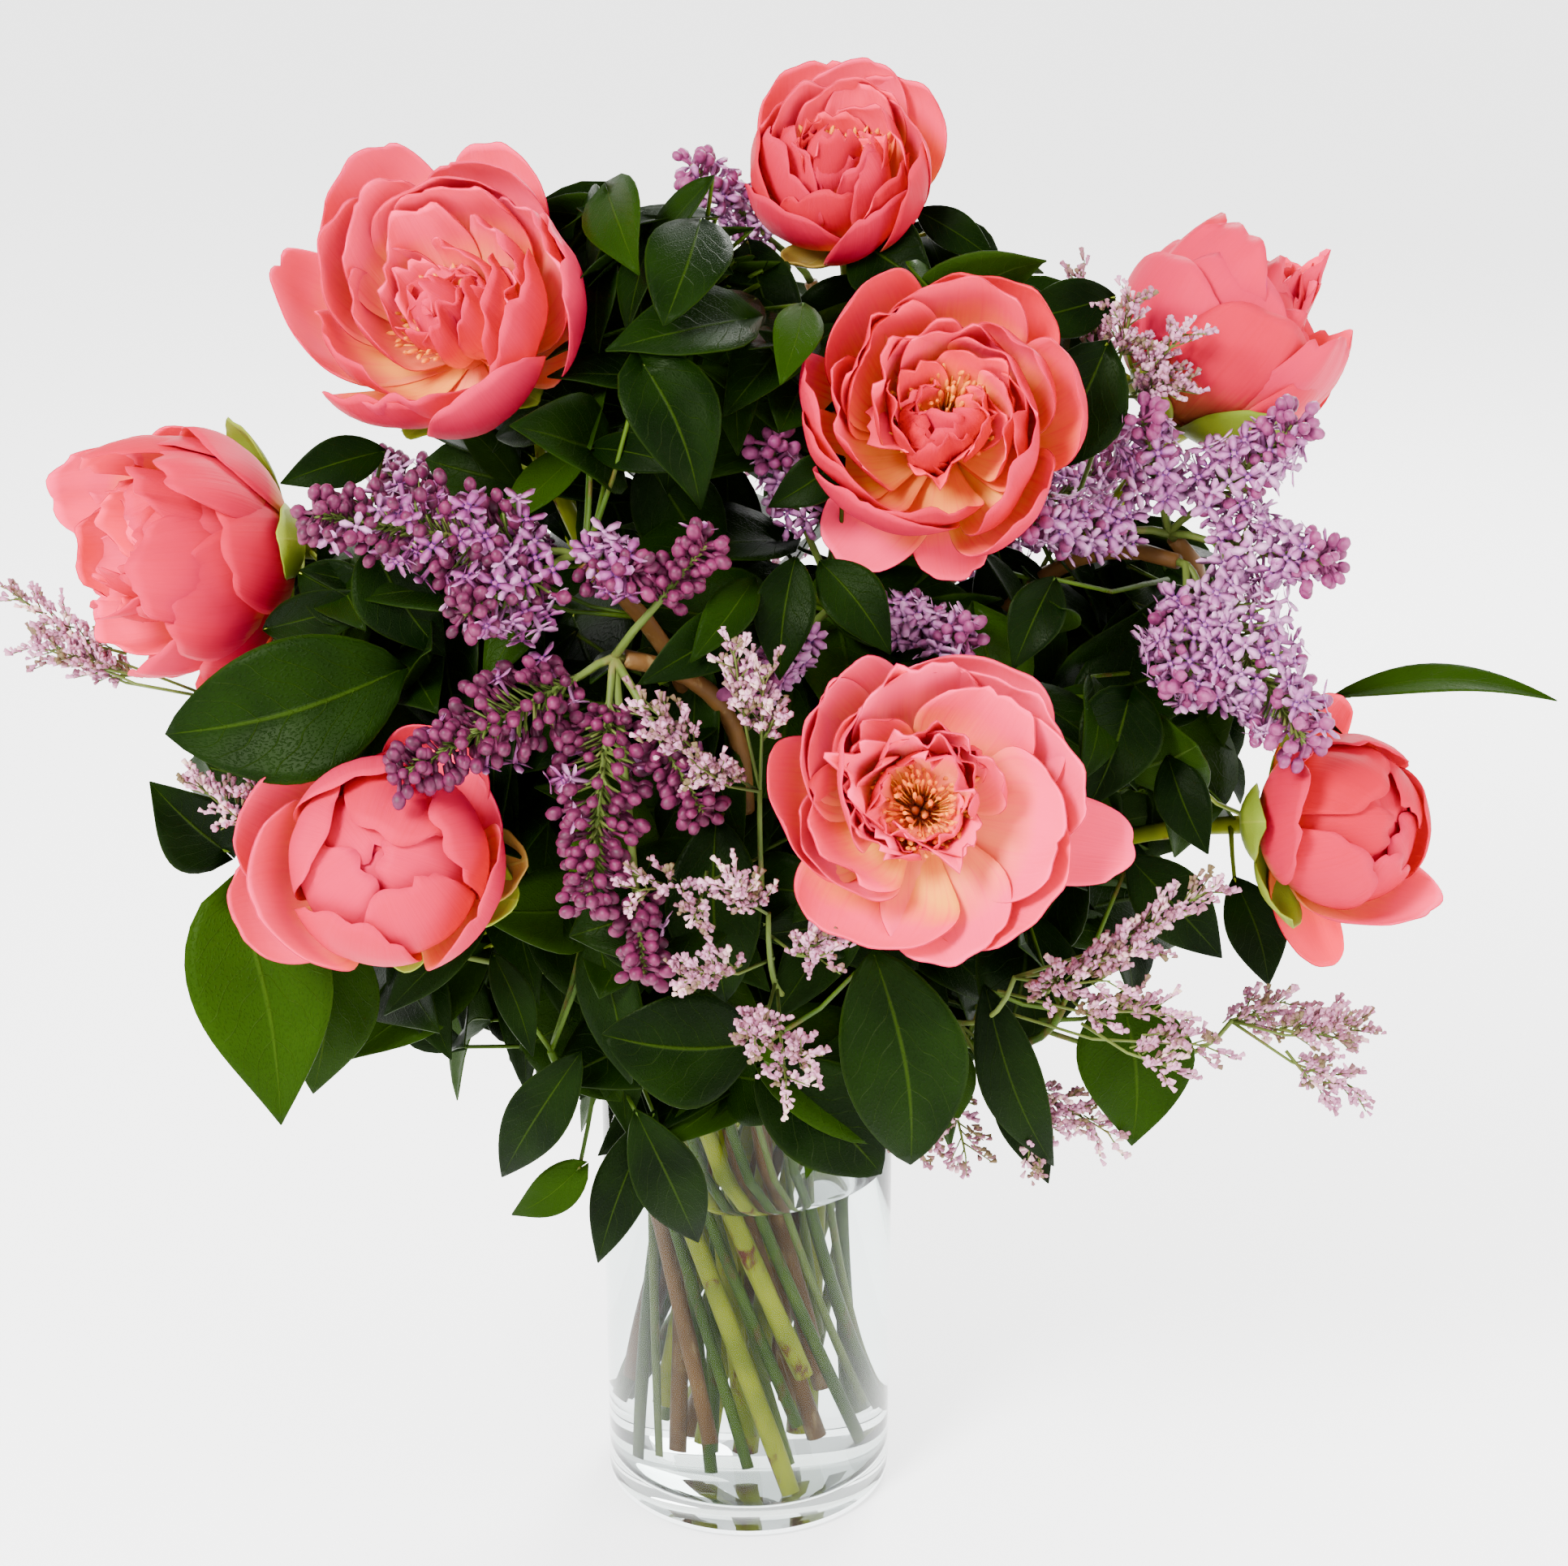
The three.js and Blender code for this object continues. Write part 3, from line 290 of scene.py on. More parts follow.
# The inside faces get a far brighter colour than the outside faces. This is partly the petals' own colour
# and partly painted light: the glow that shines through the thin petals and bounces between them.
petal_inside = petal_finish(
    "petal inside", (1.0, 0.4, 0.012), (1.0, 0.14, 0.035), (1.0, 0.02, 0.1), (1.0, 0.065, 0.21),
    (0.9, 0.004, 0.022))
petal_outside = petal_finish(
    "petal outside", (0.54, 0.18, 0.05), (0.53, 0.008, 0.034), (0.46, 0.001, 0.028), (0.62, 0.012, 0.08),
    (0.4, 0.0004, 0.008))
stamen_colour = stamen_finish()
leaf_face = leaf_finish(
    "leaf face", (0.0006, 0.0034, 0.0001), (0.0045, 0.015, 0.0002), (0.0125, 0.034, 0.0003),
    (0.036, 0.07, 0.0045), 0.4, 0.6)
leaf_back = leaf_finish(
    "leaf back", (0.005, 0.016, 0.001), (0.014, 0.034, 0.002), (0.034, 0.062, 0.004),
    (0.07, 0.11, 0.02), 0.55, 0.6)
sepal_colour = leaf_finish(
    "sepal", (0.0984, 0.156, 0.00984), (0.246, 0.295, 0.0246), (0.451, 0.107, 0.0492),
    (0.295, 0.295, 0.0492), 0.42, 0.2)
peony_stem = stem_finish(
    "peony stem", (0.051, 0.085, 0.0017), (0.306, 0.323, 0.0085), (0.0765, 0.0102, 0.0034), 1.0)
branch_bark = stem_finish(
    "lilac bark", (0.051, 0.0204, 0.0051), (0.162, 0.0765, 0.0187), (0.255, 0.17, 0.068), 0.5)
leafy_stem = stem_finish(
    "leafy stem", (0.0085, 0.0298, 0.00085), (0.051, 0.0935, 0.0034), (0.068, 0.0255, 0.0051), 0.6)
twig_green = stem_finish(
    "limonium stem", (0.051, 0.085, 0.0119), (0.119, 0.153, 0.0298), (0.17, 0.111, 0.0425), 0.4)
dark_lilac = lilac_finish(
    "dark lilac", (0.072, 0.016, 0.16), (0.224, 0.04, 0.16), (0.56, 0.264, 0.48),
    (0.032, 0.0016, 0.0128), (0.136, 0.0104, 0.056))
pale_lilac = lilac_finish(
    "pale lilac", (0.12, 0.036, 0.24), (0.336, 0.1, 0.272), (0.64, 0.336, 0.56),
    (0.128, 0.012, 0.064), (0.272, 0.052, 0.16))
limonium_colour = limonium_finish()
glass_colour = clear_finish("clear glass", (0.93, 0.965, 0.975), 1.5, 14, 0.06)
water_colour = clear_finish("water", (0.955, 0.98, 0.95), 1.33, 30, 0.05)


# Shapes that repeat are modelled once, then copied into a sheaf: one mesh for a flower, stem or head.
class Shape:
    """The mesh of a finished object as plain lists; the object itself is removed."""

    def __init__(self):
        made = bpy.context.object
        mesh = made.data
        self.points = np.array([vertex.co[:] for vertex in mesh.vertices])
        self.corners = np.array([loop.vertex_index for loop in mesh.loops], np.int32)
        self.sizes = np.array([face.loop_total for face in mesh.polygons], np.int32)
        self.uv = np.full((len(self.points), 2), 0.5)
        self.finishes = np.zeros(len(self.sizes), np.int32)
        bpy.data.objects.remove(made)
        bpy.data.meshes.remove(mesh)


def hand_over(made, node):
    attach(made, "root")
    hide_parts(node)


class Sheaf:
    """Copies of shapes, each with its tone and its first finish, that become one piece."""

    def __init__(self):
        self.copies = []
        self.count = 0

    def add(self, shape, points, tone=0.5, finish=0, uv=None):
        uv = shape.uv if uv is None else uv
        tones = np.full(len(points), tone)
        finishes = shape.finishes + finish
        self.copies.append((points, shape.corners + self.count, shape.sizes, uv, tones, finishes))
        self.count += len(points)

    def piece(self, name, finishes, node):
        columns = [np.concatenate(column) for column in zip(*self.copies)]
        points, corners, sizes, uv, tones, numbers = columns
        mesh = bpy.data.meshes.new(name)
        mesh.vertices.add(self.count)
        mesh.vertices.foreach_set("co", points.ravel() * MM)
        mesh.loops.add(len(corners))
        mesh.loops.foreach_set("vertex_index", corners)
        mesh.polygons.add(len(sizes))
        mesh.polygons.foreach_set("loop_start", np.cumsum(sizes) - sizes)
        mesh.polygons.foreach_set("material_index", numbers)
        mesh.uv_layers.new(name="sheet").data.foreach_set("uv", uv[corners].ravel())
        mesh.attributes.new("tone", "FLOAT", "POINT").data.foreach_set("value", tones)
        mesh.update(calc_edges=True)
        mesh.shade_smooth()
        for finish in finishes:
            mesh.materials.append(finish)
        made = bpy.data.objects.new(name, mesh)
        bpy.context.scene.collection.objects.link(made)
        hand_over(made, node)


def sheet_shape(across, along):
    """A flat sheet, u from -1 to 1 and v from 0 to 1, with a front, a back and a rim"""
    deselect()
    bpy.ops.mesh.primitive_grid_add(x_subdivisions=across, y_subdivisions=along, size=2)
    solid = bpy.context.object.modifiers.new("wall", "SOLIDIFY")
    solid.thickness = 0.02
    solid.offset = 0
    bpy.ops.object.modifier_apply(modifier="wall")
    shape = Shape()
    x, y, z = shape.points.T
    shape.u = x.round(5)
    shape.v = ((y + 1) / 2).round(5)
    shape.side = np.sign(z.round(5))
    shape.uv = np.stack([(shape.u + 1) / 2, shape.v], 1)
    starts = np.cumsum(shape.sizes) - shape.sizes
    facing = np.add.reduceat(shape.side[shape.corners], starts)
    shape.finishes = (facing < 0).astype(np.int32)
    return shape


def bent(shape, surface, thickness):
    """A sheet shape laid on a surface(u, v), with its thickness"""
    u, v = shape.u, shape.v
    inside = np.clip(v, 0.02, 0.98)
    edge = np.clip(u, -0.98, 0.98)
    step = 0.01
    across = surface(edge + step, inside) - surface(edge - step, inside)
    along = surface(edge, inside + step) - surface(edge, inside - step)
    normal = np.cross(across, along)
    normal /= np.maximum(np.linalg.norm(normal, axis=1), 1e-9)[:, None]
    return surface(u, v) + normal * (shape.side * thickness / 2)[:, None]


@functools.cache
def tube_shape(rings, sides):
    """A closed tube; its points are filled in along a path"""
    deselect()
    bpy.ops.mesh.primitive_cylinder_add(vertices=sides, radius=1, depth=1, end_fill_type="NGON")
    shape = Shape()
    faces = []
    for j in range(rings - 1):
        for i in range(sides):
            k = (i + 1) % sides
            faces.append((j * sides + i, j * sides + k, (j + 1) * sides + k, (j + 1) * sides + i))
    faces.append(range(sides)[::-1])
    faces.append(range((rings - 1) * sides, rings * sides))
    shape.corners = np.concatenate(faces).astype(np.int32)
    shape.sizes = np.array([len(face) for face in faces], np.int32)
    shape.finishes = np.zeros(len(faces), np.int32)
    return shape


def tube(sheaf, path, radii, sides, tone=0.5, finish=0):
    """A round stem along a path of points, with a radius at each"""
    path = np.asarray(path, float)
    rings = len(path)
    ways = np.gradient(path, axis=0)
    ways /= np.linalg.norm(ways, axis=1)[:, None]
    side = np.cross(ways[0], vec(0.31, 0.95, 0.05))
    points = []
    angles = 2 * math.pi * np.arange(sides) / sides
    for place, way, radius in zip(path, ways, np.broadcast_to(radii, rings)):
        side = unit(side - way * side.dot(way))
        other = np.cross(way, side)
        points.append(place + radius * (np.outer(np.cos(angles), side) + np.outer(np.sin(angles), other)))
    along = np.repeat(np.linspace(0, 1, rings), sides)
    uv = np.stack([along * 0 + 0.3, along], 1)
    sheaf.add(tube_shape(rings, sides), np.concatenate(points), tone, finish, uv)


def turned_to(way, spin):
    """Rows that turn a shape's +Z to a direction, after a spin about it"""
    out, up, right = flower_axes(way)
    cos, sin = math.cos(spin), math.sin(spin)
    return np.stack([right * cos + up * sin, up * cos - right * sin, out])


def stamp(sheaf, shape, place, way, size, spin=0, tone=0.5, finish=0):
    sheaf.add(shape, place + (shape.points * size) @ turned_to(way, spin), tone, finish)


# Vase and water
def vase_wall(name, profile, finish, node):
    """A closed body turned from a profile of (radius, height), in metres"""
    deselect()
    mesh = bpy.data.meshes.new(name)
    mesh.from_pydata([(r, 0, z) for r, z in profile], [(i, i + 1) for i in range(len(profile) - 1)], [])
    made = bpy.data.objects.new(name, mesh)
    bpy.context.scene.collection.objects.link(made)
    bpy.context.view_layer.objects.active = made
    made.select_set(True)
    bpy.ops.object.mode_set(mode="EDIT")
    bpy.ops.mesh.select_all(action="SELECT")
    bpy.ops.mesh.spin(steps=128, angle=2 * math.pi, center=(0, 0, 0), axis=(0, 0, 1))
    bpy.ops.mesh.select_all(action="SELECT")
    bpy.ops.mesh.remove_doubles(threshold=1e-6)
    bpy.ops.mesh.normals_make_consistent(inside=False)
    bpy.ops.object.mode_set(mode="OBJECT")
    bpy.ops.object.shade_smooth_by_angle(angle=math.radians(40))
    made.data.materials.append(finish)
    hand_over(made, node)


def rounded(corner, radius, start, end, steps=4):
    """Points of a small round edge about a corner's centre, angles in degrees"""
    turn = np.radians(np.linspace(start, end, steps + 1))
    return [(corner[0] + radius * math.cos(a), corner[1] + radius * math.sin(a)) for a in turn]


water_top = 0.188
vase_wall("glass_vase", [
    (0, 0.0008), (0.058, 0.0008), (0.062, 0.0),
    *rounded((0.0715, 0.0035), 0.0035, -90, 0),
    *rounded((0.0725, 0.2475), 0.0025, 0, 180, 8),
    (0.070, 0.022),
    *rounded((0.064, 0.021), 0.006, 0, -90),
    (0.03, 0.0146), (0, 0.0143)], glass_colour, "vase")
vase_wall("clear_water", [
    (0, 0.0141), (0.03, 0.0144), (0.064, 0.0148),
    *rounded((0.0642, 0.021), 0.0062, -70, 0),
    (0.0704, water_top + 0.0012), (0.0688, water_top + 0.0003), (0.065, water_top), (0, water_top)],
    water_colour, "water")


# Stems stand in three rings in the vase and lean all the same way round, as in a spiral-tied bunch.
rings = {"outer": (53, 20), "middle": (36, 12), "inner": (18, 6)}
vase_floor = 15
vase_height = 250
spiral = math.radians(95)


def slot_point(ring, slot, height):
    radius, count = rings[ring]
    top = math.radians(360 * slot / count)
    bottom = top + spiral
    low = vec(radius * math.cos(bottom), radius * math.sin(bottom), vase_floor)
    high = vec(radius * math.cos(top), radius * math.sin(top), vase_height)
    return low + (high - low) * (height - vase_floor) / (vase_height - vase_floor)


# Each row is ring, slot, radius and the height of the cut foot above the vase floor.
slots = {
    "peony_top_left": ("inner", 3, 4.3, 22),
    "peony_left": ("outer", 11, 4.5, 0),
    "peony_top": ("inner", 1, 4.2, 8),
    "peony_top_right": ("middle", 3, 4.4, 30),
    "peony_centre": ("inner", 0, 4.3, 0),
    "peony_front": ("middle", 11, 4.8, 6),
    "peony_front_left": ("outer", 13, 4.5, 62),
    "peony_right": ("outer", 1, 4.5, 14),
    "lilac_left_upper": ("middle", 8, 4, 20),
    "lilac_left_lower": ("middle", 9, 4.2, 44),
    "lilac_right_upper": ("middle", 1, 4.2, 4),
    "lilac_right_lower": ("middle", 0, 4, 26),
    "lilac_top": ("middle", 4, 3.6, 12),
    "lilac_centre": ("inner", 5, 3.4, 34),
    "lilac_back_left": ("outer", 9, 4, 28),
    "lilac_back_right": ("outer", 5, 4, 40),
    "limonium_left": ("middle", 7, 2, 10),
    "limonium_front_left": ("outer", 15, 2, 30),
    "limonium_centre": ("middle", 10, 2, 70),
    "limonium_front": ("outer", 17, 2, 2),
    "limonium_right": ("outer", 19, 2, 0),
    "limonium_far_right": ("outer", 0, 2, 36),
    "limonium_top_right": ("middle", 2, 2, 16),
    "limonium_back": ("outer", 7, 2, 12),
    "leafy_left": ("outer", 12, 3, 36),
    "leafy_left_low": ("outer", 14, 3, 12),
    "leafy_front_low": ("outer", 16, 3, 18),
    "leafy_right_low": ("outer", 18, 3, 8),
    "leafy_right": ("outer", 3, 3, 20),
    "leafy_top": ("middle", 5, 3, 6),
    "leafy_back_left": ("outer", 10, 3, 16),
    "leafy_back": ("outer", 6, 3, 4),
    "leafy_back_right": ("outer", 4, 3, 22),
    "leafy_back_top": ("inner", 2, 3, 10),
}

# Peonies. A ring's row: length, half width, angles from the flower's axis at the base and at the tip,
# cup, azimuth of the first petal. A loose petal's row: azimuth, then the first five of these values.
# A bloom with three rings is filled in whorls, one with a single ring is a ball of closed petals.
# Depth is how far the petals' foot is below the centre, heart how high above the foot the heart stands.
# Tuft is the azimuth of the crumpled petals, fold their angle. Inner whorls are open by gap at the azimuth
# gap_at, and petals drop there. Tilt makes the far petals longer, shade makes petals redder or lighter.
# Sepals gives the azimuths of the two biggest.
blooms = {
    "peony_top_left": dict(
        centre=(-139, -20, 638), axis=(-0.25, -0.72, 0.65), depth=42, open=True, seed=11, shade=0.3,
        tuft=330, heart=15,
        rings=[(118, 40, 90, -14, 0.4, 15), (98, 34, 76, -28, 0.4, 40), (58, 20, 50, -10, 0.3, 10)],
        loose=[(82, 108, 30, 97, 6, 0.34)], sepals=(250, 330)),
    "peony_left": dict(
        centre=(-268, -20, 522), axis=(-0.84, -0.51, 0.16), depth=48, open=False, seed=12, heart=26,
        rings=[(90, 37, 93, 6, 0.42, 20), (114, 33, 84, -36, 0.42, 55), (64, 22, 50, -15, 0.3, 10)],
        loose=[(280, 84, 30, 94, 34, 0.3)], sepals=(20, 110)),
    "peony_top": dict(
        centre=(45, 60, 686), axis=(-0.1, -0.5, 0.86), depth=34, open=True, seed=13, shade=-0.15,
        tuft=270, heart=22, tilt=0.12,
        rings=[(80, 36, 92, -22, 0.4, 0), (74, 32, 78, -40, 0.4, 35), (46, 17, 50, -16, 0.3, 10)],
        loose=[], sepals=(250, 320)),
    "peony_top_right": dict(
        centre=(234, 50, 602), axis=(0.55, 0.15, 0.82), depth=42, open=False, seed=14, heart=26,
        rings=[(98, 41, 92, -14, 0.4, 56), (108, 38, 84, -50, 0.4, 20), (70, 26, 60, -34, 0.3, 0)],
        loose=[(345, 94, 22, 90, 44, 0.3)], sepals=(195, 265)),
    "peony_centre": dict(
        centre=(91, -70, 600), axis=(-0.05, -0.85, 0.52), depth=40, open=True, seed=15, shade=-0.2,
        tuft=275, heart=16,
        rings=[(112, 38, 90, -16, 0.4, 0), (92, 32, 74, -28, 0.4, 30), (56, 19, 50, -8, 0.3, 50)],
        loose=[(232, 72, 25, 98, 62, 0.25), (276, 62, 20, 102, 70, 0.25)], sepals=(210, 300)),
    "peony_front": dict(
        centre=(81, -175, 455), axis=(0, -0.87, 0.49), depth=30, open=True, seed=16, shade=0.3,
        gap=80, gap_at=285, tuft=100, fold=-14, drop=24,
        rings=[(94, 38, 90, 6, 0.36, 10), (84, 32, 78, -10, 0.36, 46), (56, 22, 50, 0, 0.3, 0)],
        loose=[(348, 94, 22, 95, 66, 0.2)], sepals=(200, 290)),
    "peony_front_left": dict(
        centre=(-161, -150, 415), axis=(0.02, -0.86, 0.5), depth=42, open=False, seed=17, shade=0.3,
        rings=[(112, 36, 88, -44, 0.4, 54)],
        loose=[(200, 92, 30, 95, 14, 0.34), (162, 96, 33, 92, 4, 0.4), (64, 96, 30, 92, -4, 0.4)],
        sepals=(2, 345)),
    "peony_right": dict(
        centre=(290, -60, 397), axis=(0.635, -0.713, 0.3), depth=40, open=False, seed=18, shade=-0.15,
        rings=[(98, 38, 86, -46, 0.42, 10)],
        loose=[(70, 68, 24, 97, 34, 0.34), (255, 72, 24, 98, 40, 0.34)], sepals=(164, 222)),
}

# Lilac heads: a fork on the branch, then for each panicle its tip, its radius, and the share of its
# rachis, from the fork, that is bare.
lilacs = {
    "lilac_left_upper": dict(dark=True, buds=0.5, seed=21, fork=(-76, -106, 548), panicles=[
        ((-189, -135, 577), 32, 0.1), ((-122, -158, 538), 30, 0.25), ((-48, -142, 551), 22, 0.2)]),
    "lilac_left_lower": dict(dark=True, buds=0.93, seed=22, fork=(-58, -126, 506), panicles=[
        ((-152, -175, 468), 29, 0.15), ((-68, -187, 410), 30, 0.15), ((-44, -186, 376), 13, 0.72),
        ((-15, -137, 564), 17, 0.45), ((-17, -172, 449), 15, 0.45)]),
    "lilac_right_upper": dict(dark=False, seed=24, fork=(203, -18, 530), panicles=[
        ((131, -70, 553), 22, 0.25), ((257, -50, 594), 28, 0.2), ((186, -42, 594), 24, 0.25),
        ((274, -62, 530), 28, 0.25)]),
    "lilac_right_lower": dict(dark=False, seed=25, fork=(210, -36, 520), panicles=[
        ((262, -95, 452), 36, 0.1), ((206, -92, 476), 30, 0.25)]),
    "lilac_top": dict(dark=False, seed=26, fork=(30, 92, 630), panicles=[((-26, 66, 690), 16, 0.3)]),
    "lilac_centre": dict(dark=False, seed=27, fork=(44, -34, 500), panicles=[
        ((12, -62, 588), 14, 0.5), ((104, -86, 500), 20, 0.35), ((2, -118, 488), 18, 0.4)]),
    "lilac_back_left": dict(dark=True, buds=0.5, seed=28, fork=(-112, 112, 470), panicles=[
        ((-196, 160, 510), 28, 0.1), ((-120, 190, 450), 24, 0.2)]),
    "lilac_back_right": dict(dark=False, seed=29, fork=(112, 122, 470), panicles=[
        ((200, 176, 512), 28, 0.1), ((96, 206, 448), 25, 0.2)]),
}

# Limonium: where the main stem branches, then the tip of each twig.
limoniums = {
    "limonium_left": ((-262, 0, 440), [(-358, 10, 488), (-340, 2, 464), (-352, 14, 462)]),
    "limonium_front_left": ((-216, -90, 398), [(-224, -128, 444), (-254, -114, 440), (-232, -132, 430)]),
    "limonium_centre": (
        (8, -146, 450),
        [(-3, -178, 528), (-40, -182, 503), (-46, -202, 424), (-20, -188, 478), (10, -178, 516)]),
    "limonium_front": (
        (12, -176, 402),
        [(36, -218, 398), (6, -226, 363), (20, -228, 342), (-5, -204, 430), (-18, -210, 388)]),
    "limonium_right": (
        (125, -158, 362),
        [(211, -190, 342), (182, -172, 384), (213, -160, 406), (166, -184, 372), (192, -188, 358),
         (106, -132, 254), (142, -132, 256), (176, -120, 260), (82, -150, 268)]),
    "limonium_far_right": (
        (236, -88, 306), [(297, -90, 270), (262, -84, 314), (302, -80, 296), (286, -104, 304)]),
    "limonium_top_right": (
        (176, 14, 592), [(206, -26, 630), (183, -10, 642), (206, -20, 601), (160, 26, 642)]),
    "limonium_back": (
        (-26, 182, 440), [(-62, 228, 474), (-8, 236, 484), (26, 226, 436), (-84, 214, 430)]),
}

# Leafy stems: the point where each ends.
leafy_heads = {
    "leafy_left": (-208, -60, 446),
    "leafy_left_low": (-92, -118, 304),
    "leafy_front_low": (12, -134, 318),
    "leafy_right_low": (150, -126, 330),
    "leafy_right": (232, 20, 440),
    "leafy_top": (-22, 30, 648),
    "leafy_back_left": (-190, 96, 400),
    "leafy_back": (10, 150, 500),
    "leafy_back_right": (190, 110, 390),
    "leafy_back_top": (-30, 110, 600),
}

# Leaves seen best: the stem each grows on, base and tip of the blade, half its width, its form, and
# where they are set, its tone from dark to sunlit and its facing.
front = (0, -1, 0.35)
leaves = [
    ("leafy_left", (-156, -112, 495), (-264, -124, 468), 33, "broad", 0.45),
    ("leafy_left", (-236, -112, 379), (-219, -140, 276), 34, "heart", 0.95),
    ("leafy_left", (-200, -88, 350), (-210, -98, 270), 26, "heart", 0.86),
    ("leafy_left", (-246, -90, 396), (-276, -104, 436), 20, "heart"),
    ("leafy_front_low", (4, -150, 324), (-64, -166, 336), 27, "broad", 0.15),
    ("leafy_front_low", (60, -172, 380), (78, -178, 274), 29, "broad", 0.4),
    ("leafy_front_low", (8, -118, 296), (66, -122, 240), 26, "broad", 0.1),
    ("leafy_left_low", (-44, -102, 262), (-73, -104, 180), 14, "lance"),
    ("leafy_left_low", (-52, -112, 268), (-23, -96, 186), 17, "lance"),
    ("leafy_right_low", (113, -140, 347), (148, -140, 252), 15, "lance"),
    ("leafy_right_low", (181, -112, 324), (186, -124, 256), 28, "heart", 0.86),
    ("leafy_right", (292, 0, 440), (398, -10, 442), 9, "lance", 1.0, (0, -0.5, 0.8)),
    ("peony_top", (58, 44, 656), (92, 18, 640), 21, "heart"),
    ("peony_top", (84, 62, 668), (122, 50, 646), 10, "lance"),
    ("leafy_top", (2, 30, 660), (26, -8, 606), 17, "broad"),
    ("leafy_top", (-6, 2, 632), (17, -30, 570), 15, "lance"),
    ("leafy_top", (-35, 1, 656), (-72, -19, 592), 20, "heart"),
    ("leafy_top", (-24, -6, 628), (-36, -38, 556), 20, "lance"),
    ("peony_top_right", (176, 20, 636), (124, 8, 626), 14, "lance"),
    ("lilac_left_upper", (-166, -96, 545), (-136, -108, 500), 20, "heart"),
    ("peony_left", (-206, -66, 526), (-160, -86, 508), 15, "lance"),
    ("lilac_centre", (36, -108, 545), (67, -132, 510), 14, "lance"),
    ("lilac_right_upper", (143, -86, 530), (124, -108, 494), 13, "lance"),
    ("lilac_right_lower", (180, -84, 470), (160, -116, 428), 20, "heart"),
    ("peony_right", (200, -82, 440), (218, -104, 400), 13, "lance"),
    ("leafy_right_low", (182, -100, 396), (226, -112, 350), 17, "lance"),
    ("peony_right", (240, -42, 360), (258, -54, 308), 15, "lance"),
    ("leafy_left_low", (-78, -130, 308), (-118, -120, 236), 15, "lance"),
    ("lilac_left_lower", (-62, -141, 390), (-20, -166, 358), 18, "heart"),
    ("lilac_left_lower", (-12, -141, 432), (-8, -160, 350), 22, "broad"),
    ("leafy_right_low", (127, -98, 280), (148, -106, 226), 13, "heart"),
    ("peony_front", (89, -128, 324), (97, -132, 270), 14, "broad", 0.9),
    ("leafy_left", (-168, -42, 578), (-214, -60, 568), 12, "lance"),
    ("lilac_centre", (46, -74, 584), (12, -84, 564), 11, "lance"),
    ("lilac_centre", (24, -112, 548), (17, -134, 498), 14, "lance"),
    ("leafy_left_low", (-80, -116, 240), (-114, -112, 212), 11, "heart", 0.9),
    ("leafy_left_low", (-116, -136, 363), (-98, -152, 318), 9, "lance"),
    ("peony_left", (-224, -64, 498), (-160, -90, 524), 12, "lance"),
    ("lilac_left_upper", (-68, -84, 592), (-22, -112, 590), 9, "lance"),
    ("lilac_left_lower", (14, -118, 523), (-46, -150, 502), 14, "lance"),
]

# Leaves that fill the sides and the back: how many on each stem, their length, half width and form.
fill_leaves = {
    "peony_top_left": (1, 74, 18, "lance"),
    "peony_top": (1, 74, 18, "lance"),
    "peony_top_right": (1, 74, 18, "lance"),
    "lilac_back_left": (3, 72, 27, "heart"),
    "lilac_back_right": (3, 72, 27, "heart"),
    "lilac_top": (1, 68, 26, "heart"),
    "leafy_right": (3, 78, 24, "broad"),
    "leafy_back_left": (4, 80, 26, "broad"),
    "leafy_back": (4, 80, 27, "heart"),
    "leafy_back_right": (4, 80, 26, "broad"),
    "leafy_back_top": (3, 80, 22, "broad"),
}

# Stems
calyx_length = 13
rachis_foot = 5


def stem_line(name):
    """The stem's path, from its cut foot to its head, and its corner points as in the solids"""
    ring, slot, _, cut = slots[name]
    if name in blooms:
        bloom = blooms[name]
        lean = flower_axes(bloom["axis"])[0]
        head = vec(*bloom["centre"]) - lean * (bloom["depth"] + calyx_length - 1)
    elif name in lilacs:
        head = vec(*lilacs[name]["fork"])
        onward = vec(*lilacs[name]["panicles"][0][0])
        lean = unit(unit(onward - head) + vec(0, 0, 0.6))
        head = head - lean * (rachis_foot + 0.3)
    else:
        head = vec(*(limoniums[name][0] if name in limoniums else leafy_heads[name]))
        lean = unit(unit(head * 1.3 - head) + vec(0, 0, 0.6))
    foot = slot_point(ring, slot, vase_floor + 0.3 + 1.6 + cut)
    bend = slot_point(ring, slot, 258)
    start = unit(bend - foot)
    reach = np.linalg.norm(head - bend)
    handles = [bend, bend + start * 0.4 * reach, head - lean * 0.4 * reach, head]

    def curve(t):
        s = 1 - t
        a, b, c, d = handles
        return s ** 3 * a + 3 * s * s * t * b + 3 * s * t * t * c + t ** 3 * d

    bends = 4 if name in blooms else 3
    corners = [foot] + [curve(i / bends) for i in range(bends + 1)]
    low = [foot + (bend - foot) * share for share in np.linspace(0, 1, 9)[:-1]]
    smooth = low + [curve(t) for t in np.linspace(0, 1, 17)]
    return smooth, corners, lean


def nearest_root(corners, place):
    """Where on a stem, above the vase, a twig or leaf stalk to this place would grow"""
    roots = [
        corners[i] + (corners[i + 1] - corners[i]) * share
        for i in range(1, len(corners) - 1) for share in (0.1, 0.4, 0.7, 0.98)]
    return min(roots, key=lambda root: np.linalg.norm(root - place) + max(0, root[2] - place[2] + 15))


stem_lines = {name: stem_line(name) for name in slots}


# Leaves
leaf_wall = 0.6
big_leaf = sheet_shape(10, 16)
small_leaf = sheet_shape(6, 10)
bunch_middle = vec(0, 0, 420)


def leaf_form(form, v):
    v = np.clip(v, 0, 1)
    if form == "heart":
        return np.sin(math.pi * v ** 0.62)
    if form == "broad":
        return np.maximum(np.sin(math.pi * v ** 0.85), 0) ** 0.8
    return np.sin(math.pi * v ** 0.8)


